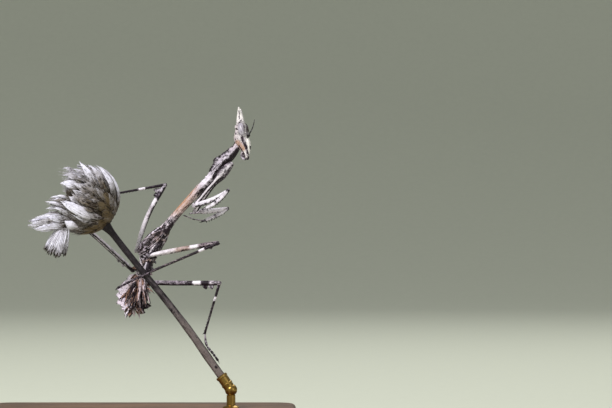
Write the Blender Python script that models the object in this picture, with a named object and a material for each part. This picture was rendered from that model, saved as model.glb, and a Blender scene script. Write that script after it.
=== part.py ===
"""A young conehead mantis, life size, on a dry stem with its seed head, held by a small display stand.

Run it with blender --background --python part.py. Sizes below are millimetres: x to the right,
y away from the viewer, z up, with z = 0 under the base. The last step turns the solids to metres.
"""

import math

import bpy
import bmesh
from mathutils import Matrix, Vector

MM = 0.001
MERGE = 0.0001      # vertices closer than this are one
GAP = 0.05          # clearance between neighbouring solids
THIN = 0.26         # radius of the thinnest feelers and feet
CRISP_ANGLE = math.radians(42)    # edges sharper than this stay crisp when shaded

# Display stand
BASE_SIZE = (56.0, 40.0, 5.0)
BASE_CORNER = 4.0
BASE_EDGE = 0.6
ROD_RADIUS = 0.8
BALL_RADIUS = 1.15
SOCKET_RADIUS = 1.02
SOCKET_LENGTH = 2.2

# Perch
STEM_LINE = ((15.8, 0.0, 9.2), (9.1, 0.0, 18.7), (4.6, 0.0, 24.6), (0.6, 0.0, 29.5), (-4.8, 0.3, 36.3))
STEM_RADII = (0.76, 0.68, 0.62, 0.60, 0.58)
STEM_FLARE = 0.9
HEAD_CENTRE = Vector((-10.0, 0.8, 42.4))
HEAD_RADIUS = 6.3
HEAD_OPENING = Vector((-0.87, -0.05, 0.49))
HEAD_STATIONS = 9           # sections of the cup, from CUP_START over CUP_SWEEP as shares of a half turn
CUP_START = 0.06
CUP_SWEEP = 0.56
MOUTH_RINGS = ((3.2, 4.4), (3.9, 2.6))      # distance past the middle, radius
# Each bract: angle round the cup, reach along its axis and out from it, half width, twist of its face
BRACTS = (
    (15, 4.0, 5.2, 0.9, 0.0), (60, 5.5, 5.5, 1.0, 0.0), (92, 5.6, 5.0, 1.0, 0.0),
    (128, 4.6, 5.6, 1.1, 0.0), (150, 7.4, 9.0, 1.3, 1.0), (175, 0.4, 11.0, 1.8, 1.0),
    (202, 6.9, 8.6, 1.2, 0.7), (232, 5.6, 7.2, 1.1, 0.0), (262, 5.4, 5.8, 1.1, 0.0),
    (292, 5.4, 5.2, 1.0, 0.0), (322, 5.0, 5.2, 1.0, 0.0), (348, 4.4, 5.2, 0.9, 0.0),
)
BRACT_HALF_THICKNESS = 0.30

# Head, in its own directions from HEAD_ORIGIN: front, right side, up
HEAD_ORIGIN = Vector((18.3, 3.0, 53.8))
HEAD_TURN = math.radians(12)
HEAD_LEAN = math.radians(9)
HEAD_SECTIONS = (   # up, front, half depth, half width
    (-3.95, 0.40, 0.26, 0.34), (-3.2, 0.32, 0.55, 0.65), (-2.1, 0.26, 0.86, 0.98),
    (-1.0, 0.00, 1.12, 1.28), (0.0, -0.24, 1.26, 1.48), (1.0, -0.10, 1.00, 1.42),
    (2.0, 0.10, 0.84, 1.16), (2.9, 0.16, 0.64, 0.84), (3.8, 0.20, 0.46, 0.62), (4.2, 0.24, 0.26, 0.40),
)
CREST_ROOT = (0.16, 0.26, 3.2)
CREST_TIP = (0.34, 0.42, 5.55)
CREST_RADII = (0.40, 0.34, 0.14)
EYE_PLACE = (0.54, 1.38, 1.44)
EYE_RADII = (0.70, 0.66, 1.20)
BEHIND_EYE = (-0.58, 0.80, 2.0)
BEHIND_EYE_RADII = (0.34, 0.34, 0.42)
PALP = ((-0.30, 0.35, -2.8), (-0.55, 0.50, -3.4), (-0.25, 0.50, -3.95))
LIP = (   # up, front, half depth, half width
    (-2.2, -0.10, 0.35, 0.62), (-3.0, -0.14, 0.42, 0.60), (-3.7, 0.05, 0.30, 0.42),
)
NECK_START = (-0.75, 0.0, -0.75)
NECK_RADIUS = 0.62
FEELER = ((1.00, 0.34, 0.0), (1.55, 0.45, 0.5), (2.1, 0.56, 1.15), (2.7, 0.68, 2.05), (3.05, 0.78, 3.1))

# Trunk sections: centre, half height, half width
PRONOTUM = (
    ((17.35, 3.0, 52.0), 0.72, 0.74), ((16.2, 3.0, 50.7), 1.02, 0.98), ((14.9, 3.0, 49.5), 1.16, 1.28),
    ((14.0, 3.1, 48.3), 1.10, 1.42), ((12.5, 3.3, 46.5), 0.80, 0.92), ((10.4, 3.5, 44.4), 0.69, 0.74),
    ((7.9, 3.6, 41.6), 0.68, 0.74), ((5.9, 3.8, 39.2), 0.76, 0.82), ((4.6, 3.9, 37.5), 0.90, 0.92),
)
THORAX = (
    ((4.5, 3.9, 37.4), 0.88, 0.90), ((3.6, 4.0, 36.2), 1.42, 1.34), ((2.3, 4.1, 34.6), 1.78, 1.68),
    ((1.4, 4.2, 32.9), 1.66, 1.72), ((1.0, 4.3, 31.7), 1.36, 1.50),
)
ABDOMEN_FRONT = (
    ((1.05, 4.3, 31.9), 1.28, 1.40), ((0.7, 4.7, 30.3), 1.30, 1.45), ((0.2, 5.0, 28.9), 1.20, 1.45),
)
ABDOMEN_MIDDLE = (
    ((0.25, 5.0, 29.1), 1.14, 1.40), ((0.0, 5.1, 28.4), 1.16, 1.55), ((-0.3, 5.1, 27.6), 1.16, 1.75),
    ((-0.6, 4.95, 26.7), 1.18, 2.05), ((-0.85, 4.6, 25.8), 1.12, 2.20),
)
ABDOMEN_TIP = (
    ((-0.82, 4.7, 26.0), 1.08, 2.20), ((-1.0, 4.1, 25.1), 1.15, 2.45), ((-1.2, 2.9, 24.15), 1.08, 2.45),
    ((-1.35, 1.3, 23.5), 0.95, 2.05), ((-1.4, -0.4, 23.25), 0.68, 1.40), ((-1.4, -1.9, 23.35), 0.36, 0.65),
)
TOOTH_SECTIONS = (1, 2, 3)      # the pronotum sections that carry a pair of small teeth
TOOTH_SPREAD = 0.55
TOOTH_LENGTH = 0.5
UP_PRONOTUM = Vector((-0.72, -0.12, 0.68))
UP_THORAX = Vector((-0.77, -0.38, 0.53))
UP_FRONT = Vector((-0.78, -0.58, 0.2))
UP_MIDDLE = Vector((-0.70, -0.70, 0.0))
UP_TIP = Vector((-0.55, -0.80, 0.10))
UP_END = Vector((-0.10, -0.10, 1.0))
# Leaf lobes of the abdomen: the section each grows from, its tip and its half width
LOBES_FRONT = (
    (0, (2.95, 3.2, 32.0), 0.7), (1, (2.75, 3.3, 31.0), 0.7), (2, (2.2, 3.6, 29.8), 0.6),
    (1, (-1.1, 5.6, 30.2), 0.7),
)
LOBES_MIDDLE = (
    (1, (-2.75, 5.2, 28.3), 0.9), (2, (-3.75, 5.0, 27.2), 1.1), (3, (-4.5, 4.6, 26.4), 1.0),
    (3, (1.2, 3.2, 26.1), 0.7), (2, (-1.2, 7.2, 27.2), 0.8),
)
LOBES_TIP = (
    (1, (-4.65, 3.9, 25.2), 1.2), (2, (-4.5, 3.2, 23.9), 1.1), (3, (-3.5, 1.6, 22.7), 0.8),
    (3, (-2.4, 1.2, 21.5), 0.7), (4, (-1.5, 0.2, 22.0), 0.6), (1, (1.6, 3.2, 24.7), 0.8),
    (2, (2.0, 2.0, 23.4), 0.8), (3, (0.95, 1.0, 22.2), 0.7),
)
LOBE_ROOT_DEPTH = 0.6       # share of the section's radius at which a lobe starts
CERCUS = ((0.35, 0.5, 0.0), (0.85, -0.4, 0.2), (1.15, -1.2, 0.7))   # from the abdomen's end, outward first
CERCUS_RADII = (0.30, 0.27, 0.16)

# Walking legs: each place in turn from the body to the toes, then leaf lobes under the knee end
LEGS = {
    "leg_mid_right": dict(
        root=(3.4, 2.9, 34.6), trochanter=(1.6, 2.1, 32.5),
        knee=(14.1, -2.5, 34.8), shin=(14.3, -2.65, 34.45),
        ankle=(2.2, -1.0, 29.75), foot=((0.9, -0.97, 29.1), (-1.4, -0.7, 28.05), (-4.0, 0.1, 26.7)),
        bow=(0.0, 0.0, 0.1), lobes=((0.88, 0.55, (0.35, 0.0, -1.0)),)),
    "leg_mid_left": dict(
        root=(1.2, 5.7, 33.8), trochanter=(-1.0, 6.9, 33.3),
        knee=(4.35, 9.0, 45.1), shin=(4.45, 9.1, 45.4),
        ankle=(-6.3, 6.5, 43.2), foot=((-7.1, 6.75, 42.7), (-7.7, 7.0, 42.2), (-8.4, 7.3, 41.7)),
        bow=(-0.8, 0.0, 0.42), lobes=((0.86, 1.15, (-1.0, 0.0, 0.25)),)),
    "leg_hind_right": dict(
        root=(1.35, 3.0, 31.0), trochanter=(0.95, 2.75, 27.6),
        knee=(14.4, -3.0, 27.65), shin=(14.6, -3.0, 27.4),
        ankle=(11.65, 0.3, 18.5), foot=((12.0, 0.05, 16.4), (13.1, 0.0, 14.95), (14.0, 0.0, 13.7)),
        bow=(0.0, 0.0, -0.05), lobes=((0.80, 0.8, (0.25, 0.0, -1.0)), (0.88, 0.8, (0.25, 0.0, -1.0)))),
    "leg_hind_left": dict(
        root=(0.4, 5.9, 31.2), trochanter=(-1.7, 6.9, 29.75),
        knee=(-11.6, 11.3, 38.4), shin=(-11.8, 11.35, 38.75),
        ankle=(-10.0, 7.1, 44.8), foot=((-9.62, 6.6, 45.8), (-9.18, 5.95, 46.66), (-8.8, 5.25, 47.44)),
        bow=(0.0, 0.0, 0.1), lobes=((0.16, 0.45, (-0.3, 0.0, -1.0)), (0.24, 0.4, (-0.3, 0.0, -1.0)))),
}
COXA_RADII = (0.62, 0.66, 0.52, 0.44)
FEMUR_RADII = (0.34, 0.40, 0.43, 0.42, 0.40, 0.44, 0.40)
TIBIA_RADII = (0.30, 0.28, 0.26, 0.26, 0.27, 0.28)
TARSUS_RADII = (0.27, 0.26, 0.26, 0.28)
CLAW_LENGTH = 0.7
CLAW_SPREAD = 0.28
CLAW_RADII = (0.20, 0.17, 0.09)
LEAF_HALF_WIDTH = 0.5
LEAF_ROOT = 0.35            # how far a leaf lobe's reach starts from the middle of its limb

# Grasping legs
ARMS = {
    "foreleg_right": dict(
        root=(16.4, 1.75, 49.1), elbow=(9.75, 1.05, 41.55),
        knee=(16.0, -2.9, 44.3), shin=(16.3, -3.15, 43.95),
        claw=(11.3, -0.45, 40.85), toe=(9.0, 0.9, 40.1), lift=(0.0, 0.0, -0.45)),
    "foreleg_left": dict(
        root=(15.9, 4.5, 48.9), elbow=(9.75, 5.0, 40.45),
        knee=(15.6, 10.0, 41.0), shin=(15.85, 10.2, 40.7),
        claw=(11.0, 6.6, 38.65), toe=(7.7, 5.3, 39.75), lift=(0.0, 0.0, -0.1)),
}
ARM_COXA_RADII = (0.52, 0.84, 0.80, 0.58, 0.48, 0.46, 0.47, 0.50)
ARM_FEMUR_RADII = (0.40, 0.50, 0.52, 0.46, 0.38, 0.34)
ARM_TIBIA_RADII = (0.34, 0.38, 0.40, 0.38, 0.30, 0.14)
ARM_TIBIA_SAG = (0.0, 0.0, -0.35)
SPINE_WAY = Vector((0.45, 0.0, -0.89))
SPINE_SHARES = (0.25, 0.42, 0.59, 0.76)
SPINE_ROOT = 0.28
SPINE_LENGTH = 0.35
SPINE_RADII = (0.17, 0.06)
ARM_TARSUS_START = 0.86     # share of the tibia at which the folded tarsus begins

# Wing pads: root and tip of each, and the way its flat face looks
PADS = {
    "wing_pad_right": ((4.0, 2.6, 36.8), (-0.55, 2.7, 33.35), (-0.25, -0.9, 0.3)),
    "wing_pad_left": ((3.2, 4.9, 37.3), (-0.7, 6.0, 33.9), (-0.75, 0.2, 0.6)),
}
PAD_WIDTHS = (0.35, 0.85, 0.98, 0.80, 0.25)
PAD_THICKNESS = 0.28
PAD_BULGE = 0.25

COLOURS = {   # name: colour, roughness, metallic
    "mottled_cuticle": ((0.36, 0.31, 0.32), 0.62, 0.0),
    "dark_cuticle": ((0.10, 0.08, 0.09), 0.60, 0.0),
    "banded_leg_cuticle": ((0.48, 0.42, 0.42), 0.60, 0.0),
    "pale_crest_cuticle": ((0.74, 0.68, 0.66), 0.58, 0.0),
    "compound_eye": ((0.40, 0.38, 0.42), 0.28, 0.0),
    "feeler_cuticle": ((0.12, 0.09, 0.08), 0.55, 0.0),
    "dry_stem": ((0.13, 0.10, 0.11), 0.80, 0.0),
    "dry_bract": ((0.56, 0.52, 0.53), 0.75, 0.0),
    "oiled_walnut": ((0.20, 0.11, 0.06), 0.45, 0.0),
    "satin_brass": ((0.72, 0.55, 0.28), 0.35, 1.0),
}


# ---------------------------------------------------------------- scene and helpers
for item in list(bpy.data.objects):
    bpy.data.objects.remove(item, do_unlink=True)

parts = bpy.data.collections.new("conehead_mantis_on_stem")
bpy.context.scene.collection.children.link(parts)
uncut = {}          # each solid's mesh before it was cut to fit its neighbours


def place(local, side=1):
    """A point given in the head's own directions, in millimetres of the row frame."""
    front = Vector((math.cos(HEAD_TURN), -math.sin(HEAD_TURN), 0.0))
    up = Vector((0.0, 0.0, 1.0))
    lean_front = front * math.cos(HEAD_LEAN) + up * math.sin(HEAD_LEAN)
    lean_up = up * math.cos(HEAD_LEAN) - front * math.sin(HEAD_LEAN)
    right = lean_front.cross(lean_up)
    return HEAD_ORIGIN + lean_front * local[0] + right * (local[1] * side) + lean_up * local[2]


def material(name):
    """The part's Principled material, made once."""
    found = bpy.data.materials.get(name)
    if found:
        return found
    colour, roughness, metallic = COLOURS[name]
    made = bpy.data.materials.new(name)
    made.use_nodes = True
    shader = made.node_tree.nodes["Principled BSDF"]
    shader.inputs["Base Color"].default_value = (*colour, 1.0)
    shader.inputs["Roughness"].default_value = roughness
    shader.inputs["Metallic"].default_value = metallic
    made.diffuse_color = (*colour, 1.0)
    return made


def add(name, mesh):
    """A mesh as a named object in the part's collection."""
    thing = bpy.data.objects.new(name, mesh)
    parts.objects.link(thing)
    return thing


def from_bmesh(name, bm):
    """Closes a bmesh into an object with its faces pointing out."""
    bmesh.ops.remove_doubles(bm, verts=bm.verts, dist=MERGE)
    bmesh.ops.recalc_face_normals(bm, faces=bm.faces)
    if bm.calc_volume(signed=True) < 0:
        bmesh.ops.reverse_faces(bm, faces=bm.faces)
    mesh = bpy.data.meshes.new(name)
    bm.to_mesh(mesh)
    bm.free()
    return add(name, mesh)


def loft(name, stations, up, up_end=None, sides=12):
    """A closed skin through oval sections of unlike size. A station is (centre, half height, half width)."""
    bm = bmesh.new()
    centres = [Vector(station[0]) for station in stations]
    last = len(stations) - 1
    rings = []
    for index, (_, high, wide) in enumerate(stations):
        along = (centres[min(index + 1, last)] - centres[max(index - 1, 0)]).normalized()
        across = along.cross(up.lerp(up_end or up, index / last)).normalized()
        top = across.cross(along)
        ring = []
        for step in range(sides):
            angle = 2 * math.pi * step / sides
            offset = top * (high * math.cos(angle)) + across * (wide * math.sin(angle))
            ring.append(bm.verts.new(centres[index] + offset))
        rings.append(ring)
    for first, second in zip(rings, rings[1:]):
        for step in range(sides):
            after = (step + 1) % sides
            bm.faces.new((first[step], first[after], second[after], second[step]))
    bm.faces.new(list(reversed(rings[0])))
    bm.faces.new(rings[-1])
    return from_bmesh(name, bm)


def tube(name, points, radii, resolution=1):
    """A round limb: a bevelled curve through the points with a radius at each, its ends filled."""
    line = bpy.data.curves.new(name, "CURVE")
    line.dimensions = "3D"
    line.bevel_depth = 1.0
    line.bevel_resolution = resolution
    line.use_fill_caps = True
    spline = line.splines.new("POLY")
    spline.points.add(len(points) - 1)
    for knot, point, radius in zip(spline.points, points, radii):
        knot.co = (*point, 1.0)
        knot.radius = radius
    holder = bpy.data.objects.new(name + "_line", line)
    parts.objects.link(holder)
    bpy.context.view_layer.update()
    drawn = bpy.data.meshes.new_from_object(holder.evaluated_get(bpy.context.evaluated_depsgraph_get()))
    bm = bmesh.new()
    bm.from_mesh(drawn)
    bpy.data.objects.remove(holder, do_unlink=True)
    return from_bmesh(name, bm)


def ball(name, centre, radii, axes=None, segments=12, rings=8):
    """An egg shape with its half sizes along three directions."""
    bm = bmesh.new()
    bmesh.ops.create_uvsphere(bm, u_segments=segments, v_segments=rings, radius=1.0)
    directions = axes or (Vector((1, 0, 0)), Vector((0, 1, 0)), Vector((0, 0, 1)))
    for vert in bm.verts:
        local = [value * radius for value, radius in zip(vert.co, radii)]
        vert.co = Vector(centre) + sum((way * size for way, size in zip(directions, local)), Vector())
    return from_bmesh(name, bm)


def apply_boolean(thing, other, operation):
    """One exact Boolean between two closed solids."""
    modifier = thing.modifiers.new(operation.lower(), "BOOLEAN")
    modifier.operation = operation
    modifier.solver = "EXACT"
    modifier.object = other
    modifier.use_self = operation == "DIFFERENCE"
    bpy.context.view_layer.update()
    result = bpy.data.meshes.new_from_object(thing.evaluated_get(bpy.context.evaluated_depsgraph_get()))
    thing.modifiers.clear()
    thing.data = result


def join(thing, pieces):
    """Grows each piece into the solid, then drops the loose piece."""
    for piece in pieces:
        apply_boolean(thing, piece, "UNION")
        bpy.data.objects.remove(piece, do_unlink=True)
    return thing


def keep_largest(thing):
    """Drops the crumbs that a cut leaves behind."""
    bm = bmesh.new()
    bm.from_mesh(thing.data)
    bmesh.ops.remove_doubles(bm, verts=bm.verts, dist=MERGE * 5)
    bmesh.ops.dissolve_degenerate(bm, edges=bm.edges, dist=MERGE * 5)
    left = set(bm.verts)
    islands = []
    while left:
        queue = [left.pop()]
        island = set(queue)
        while queue:
            for edge in queue.pop().link_edges:
                for vert in edge.verts:
                    if vert in left:
                        left.discard(vert)
                        island.add(vert)
                        queue.append(vert)
        islands.append(island)
    biggest = max(islands, key=len)
    bmesh.ops.delete(bm, geom=[vert for vert in bm.verts if vert not in biggest], context="VERTS")
    bm.to_mesh(thing.data)
    bm.free()


def fit(thing, *neighbours):
    """Cuts the solid back to GAP from each neighbour, using the neighbour's shape before its own cuts."""
    uncut[thing.name] = thing.data.copy()
    for neighbour in neighbours:
        bm = bmesh.new()
        bm.from_mesh(uncut.get(neighbour.name, neighbour.data))
        bm.normal_update()
        moved = [(vert, vert.co + vert.normal * GAP) for vert in bm.verts]
        for vert, target in moved:
            vert.co = target
        grown = from_bmesh("grown", bm)
        apply_boolean(thing, grown, "DIFFERENCE")
        bpy.data.objects.remove(grown, do_unlink=True)
    keep_largest(thing)
    return thing


def between(start, end, share, bow=(0.0, 0.0, 0.0)):
    """A point along a line that bows out by a given amount at its middle."""
    return Vector(start).lerp(Vector(end), share) + Vector(bow) * math.sin(math.pi * share)


def limb(name, start, end, radii, bow=(0.0, 0.0, 0.0), resolution=1):
    """A limb segment with its radii spread evenly from start to end."""
    count = len(radii) - 1
    points = [between(start, end, step / count, bow) for step in range(count + 1)]
    return tube(name, points, radii, resolution)


def leaf(root, tip, half_width, half_thickness, face):
    """A pointed leaf lobe, flat across the direction it faces."""
    root = Vector(root)
    tip = Vector(tip)
    stations = (
        (root, half_thickness, half_width),
        (root.lerp(tip, 0.55), half_thickness * 0.95, half_width * 0.80),
        (tip, half_thickness * 0.5, half_width * 0.14),
    )
    return loft("leaf", stations, face, sides=6)


def finish(thing, slot):
    """Shades the solid smooth with crisp edges, and gives it its material."""
    thing.data.shade_smooth()
    thing.data.set_sharp_from_angle(angle=CRISP_ANGLE)
    thing.data.materials.clear()
    thing.data.materials.append(material(slot))
    return thing


# ---------------------------------------------------------------- head
def build_head():
    sections = [(place((front, 0, up)), deep, wide) for up, front, deep, wide in HEAD_SECTIONS]
    head = loft("head", sections, place((1, 0, 0)) - place((0, 0, 0)), sides=14)
    middle = [(a + b) / 2 for a, b in zip(CREST_ROOT, CREST_TIP)]
    pieces = []
    for side in (1, -1):
        spike = [place(point, side) for point in (CREST_ROOT, middle, CREST_TIP)]
        pieces.append(tube("crest", spike, CREST_RADII))
        pieces.append(ball("lobe", place(BEHIND_EYE, side), BEHIND_EYE_RADII, segments=8, rings=6))
    return join(head, pieces)


def build_eye(name, side, head):
    axes = [place(way, side) - place((0, 0, 0)) for way in ((1, 0, 0), (0, 1, 0), (0, 0, 1))]
    return fit(ball(name, place(EYE_PLACE, side), EYE_RADII, axes, 12, 9), head)


def build_feeler(name, side, head):
    points = [place(point, side) for point in FEELER]
    return fit(tube(name, points, [THIN] * len(points)), head)


def build_mouthparts(head):
    sections = [(place((front, 0, up)), deep, wide) for up, front, deep, wide in LIP]
    lip = loft("mouthparts", sections, place((1, 0, 0)) - place((0, 0, 0)), sides=8)
    for side in (1, -1):
        palp = tube("palp", [place(point, side) for point in PALP], (THIN, THIN, THIN * 0.8), 0)
        join(lip, [palp])
    return fit(lip, head)


# ---------------------------------------------------------------- trunk
def build_pronotum():
    trunk = loft("pronotum", PRONOTUM, UP_PRONOTUM, sides=12)
    teeth = []
    for index in TOOTH_SECTIONS:
        centre, high, _ = PRONOTUM[index]
        for side in (-TOOTH_SPREAD, TOOTH_SPREAD):
            root = Vector(centre) + UP_PRONOTUM * (high * 0.75) + Vector((0, side, 0))
            teeth.append(tube("tooth", (root, root + UP_PRONOTUM * TOOTH_LENGTH), (0.24, 0.08), 0))
    return join(trunk, teeth)


def build_wing_pad(name, thorax):
    """A small scale on the shoulder, lying back along the thorax."""
    root, tip, face = PADS[name]
    count = len(PAD_WIDTHS) - 1
    stations = [(between(root, tip, step / count, Vector(face) * PAD_BULGE), PAD_THICKNESS, width)
                for step, width in enumerate(PAD_WIDTHS)]
    return fit(loft(name, stations, Vector(face), sides=8), thorax)


def build_abdomen(name, sections, up, up_end, lobes, before):
    """A length of the abdomen with its leaf lobes, cut to meet the length before it."""
    trunk = loft(name, sections, up, up_end, sides=12)
    last = len(sections) - 1
    leaves = []
    for index, tip, half in lobes:
        centre, high, wide = sections[index]
        before_it = Vector(sections[max(index - 1, 0)][0])
        after_it = Vector(sections[min(index + 1, last)][0])
        along = (after_it - before_it).normalized()
        out = Vector(tip) - Vector(centre)
        out = (out - along * out.dot(along)).normalized()
        share = abs(out.dot(up.lerp(up_end, index / last).normalized()))
        radius = high * share + wide * (1 - share)
        root = Vector(centre) + out * (radius * LOBE_ROOT_DEPTH)
        leaves.append(leaf(root, tip, half, THIN, out.cross(along)))
    return fit(join(trunk, leaves), before)


# ---------------------------------------------------------------- legs
def build_walking_leg(name, plan, body):
    coxa = fit(limb(name + "_coxa", plan["root"], plan["trochanter"], COXA_RADII), *body)
    femur = limb(name + "_femur", plan["trochanter"], plan["knee"], FEMUR_RADII, plan["bow"])
    leaves = []
    for share, reach, way in plan["lobes"]:
        root = between(plan["trochanter"], plan["knee"], share, plan["bow"])
        way = Vector(way).normalized()
        run = (Vector(plan["knee"]) - Vector(plan["trochanter"])).normalized()
        leaves.append(leaf(root, root + way * (LEAF_ROOT + reach), LEAF_HALF_WIDTH, THIN, way.cross(run)))
    fit(join(femur, leaves), coxa, *body)
    tibia = fit(limb(name + "_tibia", plan["shin"], plan["ankle"], TIBIA_RADII), femur)
    foot = [Vector(plan["ankle"]), *[Vector(point) for point in plan["foot"]]]
    tarsus = tube(name + "_tarsus", foot, TARSUS_RADII, 1)
    run = (foot[-1] - foot[-2]).normalized()
    hooks = []
    for spread in (CLAW_SPREAD, -CLAW_SPREAD):
        side = run.cross(Vector((0, 0, 1))).normalized() * spread
        root = foot[-1] - run * 0.22 + side * 0.25
        hook = (root, root + run * CLAW_LENGTH * 0.5 + side, root + run * CLAW_LENGTH + side * 1.3)
        hooks.append(tube("hook", hook, CLAW_RADII, 0))
    fit(join(tarsus, hooks), tibia)
    return coxa, femur, tibia, tarsus


def spines(start, end, lift, way, shares):
    """Small stout spines in a row along one side of a limb."""
    made = []
    for share in shares:
        root = between(start, end, share, lift) + way * SPINE_ROOT
        made.append(tube("spine", (root, root + way * SPINE_LENGTH), SPINE_RADII, 0))
    return made


def build_grasping_leg(name, plan, body):
    coxa = fit(limb(name + "_coxa", plan["root"], plan["elbow"], ARM_COXA_RADII), *body)
    femur = limb(name + "_femur", plan["elbow"], plan["knee"], ARM_FEMUR_RADII, plan["lift"])
    fit(femur, coxa, *body)
    tibia = limb(name + "_tibia", plan["shin"], plan["claw"], ARM_TIBIA_RADII, ARM_TIBIA_SAG)
    join(tibia, spines(plan["shin"], plan["claw"], ARM_TIBIA_SAG, SPINE_WAY, SPINE_SHARES))
    fit(tibia, femur, coxa)
    start = between(plan["shin"], plan["claw"], ARM_TARSUS_START, ARM_TIBIA_SAG)
    tarsus = limb(name + "_tarsus", start, plan["toe"], (THIN, THIN, THIN), (0.0, 0.0, -0.25))
    fit(tarsus, tibia, coxa, femur)
    return coxa, femur, tibia, tarsus


# ---------------------------------------------------------------- perch and stand
def build_seed_head():
    axis = HEAD_OPENING.normalized()
    sections = []
    for step in range(HEAD_STATIONS):
        angle = math.pi * (CUP_START + CUP_SWEEP * step / (HEAD_STATIONS - 1))
        radius = HEAD_RADIUS * math.sin(angle)
        sections.append((HEAD_CENTRE - axis * (HEAD_RADIUS * 0.94 * math.cos(angle)), radius, radius))
    for distance, radius in MOUTH_RINGS:
        sections.append((HEAD_CENTRE + axis * distance, radius, radius))
    first = Vector((0.49, 0.0, 0.87))
    cup = loft("perch_seed_head", sections, first, sides=18)
    second = Vector((0.0, -1.0, 0.0))
    bracts = []
    for angle, along, out, half, twist in BRACTS:
        turn = math.radians(angle)
        way = (first * math.cos(turn) + second * math.sin(turn)).normalized()
        root = HEAD_CENTRE + axis * 0.2 + way * (HEAD_RADIUS * 0.93)
        tip = HEAD_CENTRE + axis * along + way * out
        bulge = root.lerp(tip, 0.5) + way * 0.35 + axis * 0.2
        face = way.lerp(second, twist)
        thick = BRACT_HALF_THICKNESS
        sections = (
            (root - axis * 0.8, thick, half * 0.7), (root.lerp(bulge, 0.6), thick, half),
            (bulge.lerp(tip, 0.4), thick, half), (tip, thick * 0.7, half * 0.45))
        bracts.append(loft("bract", sections, face, sides=6))
    return join(cup, bracts)


def build_base():
    """A plain block with rounded corners and a soft edge, resting on z = 0."""
    bm = bmesh.new()
    bmesh.ops.create_cube(bm, size=1.0)
    for vert in bm.verts:
        x, y, z = vert.co
        vert.co = Vector((x * BASE_SIZE[0], y * BASE_SIZE[1], (z + 0.5) * BASE_SIZE[2]))
    upright = [edge for edge in bm.edges if abs(edge.verts[0].co.z - edge.verts[1].co.z) > 1]
    bmesh.ops.bevel(bm, geom=upright, offset=BASE_CORNER, segments=4, profile=0.5, affect="EDGES")
    rim = [edge for edge in bm.edges if min(edge.verts[0].co.z, edge.verts[1].co.z) > BASE_SIZE[2] - MERGE]
    bmesh.ops.bevel(bm, geom=rim, offset=BASE_EDGE, segments=2, profile=0.5, affect="EDGES")
    return from_bmesh("stand_base", bm)


def build_ferrule():
    """A ball with a socket that takes the cut end of the stem."""
    end = Vector(STEM_LINE[0])
    run = (Vector(STEM_LINE[1]) - end).normalized()
    centre = end - run * 1.0
    holder = ball("stand_ferrule", centre, (BALL_RADIUS, BALL_RADIUS, BALL_RADIUS), None, 16, 10)
    sleeve = tube("sleeve", (centre, end + run * SOCKET_LENGTH), (SOCKET_RADIUS, SOCKET_RADIUS), 4)
    return join(holder, [sleeve]), centre


def build_rod(centre, ferrule):
    foot = Vector((centre.x, centre.y, BASE_SIZE[2] + GAP))
    return fit(tube("stand_rod", (foot, centre), (ROD_RADIUS, ROD_RADIUS), 4), ferrule)


# ---------------------------------------------------------------- the whole model
def build():
    head = build_head()
    pronotum = fit(build_pronotum(), head)
    neck_end = Vector(PRONOTUM[0][0]) - Vector((0.35, 0, 0.4))
    neck = fit(tube("neck", (place(NECK_START), neck_end), (NECK_RADIUS, NECK_RADIUS)), head, pronotum)
    eyes = [build_eye("eye_right", 1, head), build_eye("eye_left", -1, head)]
    feelers = [build_feeler("antenna_right", 1, head), build_feeler("antenna_left", -1, head)]
    mouth = build_mouthparts(head)
    thorax = fit(loft("thorax", THORAX, UP_THORAX, sides=12), pronotum)
    pads = [build_wing_pad(name, thorax) for name in PADS]
    front = build_abdomen("abdomen_front", ABDOMEN_FRONT, UP_FRONT, UP_MIDDLE, LOBES_FRONT, thorax)
    middle = build_abdomen("abdomen_middle", ABDOMEN_MIDDLE, UP_MIDDLE, UP_TIP, LOBES_MIDDLE, front)
    tip = build_abdomen("abdomen_tip", ABDOMEN_TIP, UP_TIP, UP_END, LOBES_TIP, middle)
    end = Vector(ABDOMEN_TIP[-1][0])
    cerci = []
    for name, side in (("cercus_right", 1), ("cercus_left", -1)):
        points = [end + Vector((out * side, along, up)) for out, along, up in CERCUS]
        cerci.append(fit(tube(name, points, CERCUS_RADII, 0), tip))
    finish(head, "pale_crest_cuticle")
    for thing in (pronotum, neck, mouth, front, middle, tip, *cerci):
        finish(thing, "mottled_cuticle")
    for thing in eyes:
        finish(thing, "compound_eye")
    for thing in feelers:
        finish(thing, "feeler_cuticle")
    for thing in (thorax, *pads):
        finish(thing, "dark_cuticle")

    seed_head = finish(build_seed_head(), "dry_bract")
    stem_top = HEAD_CENTRE.lerp(Vector(STEM_LINE[-1]), 0.75)
    stem = tube("perch_stem", (*STEM_LINE, stem_top), (*STEM_RADII, STEM_FLARE), 2)
    finish(fit(stem, seed_head), "dry_stem")
    for name, plan in LEGS.items():
        for thing in build_walking_leg(name, plan, (thorax, front, middle, *pads)):
            finish(thing, "banded_leg_cuticle")
    for name, plan in ARMS.items():
        for thing in build_grasping_leg(name, plan, (pronotum,)):
            finish(thing, "banded_leg_cuticle")

    ferrule, centre = build_ferrule()
    fit(ferrule, stem)
    finish(build_rod(centre, ferrule), "satin_brass")
    finish(ferrule, "satin_brass")
    finish(build_base(), "oiled_walnut")


build()
triangles = 0
for thing in parts.objects:
    thing.data.transform(Matrix.Scale(MM, 4))
    thing.data.calc_loop_triangles()
    triangles += len(thing.data.loop_triangles)
    print(thing.name, len(thing.data.loop_triangles))
print(f"{len(parts.objects)} solids, {triangles} triangles")
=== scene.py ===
# %% [markdown]
# # A young conehead mantis on a dry seed head
#
# This is a still, life-size museum model: a slender mantis nymph with a tall cone on its head,
# holding a slanting dry stem. Every size below is in millimetres, because that is how an insect is
# measured, and the last step of each piece turns millimetres into the metres that Blender works in.
# x runs to the right, y away from the viewer and z up, with z = 0 under the stand.

import math

import bpy
import numpy as np
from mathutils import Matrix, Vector, noise


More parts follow.
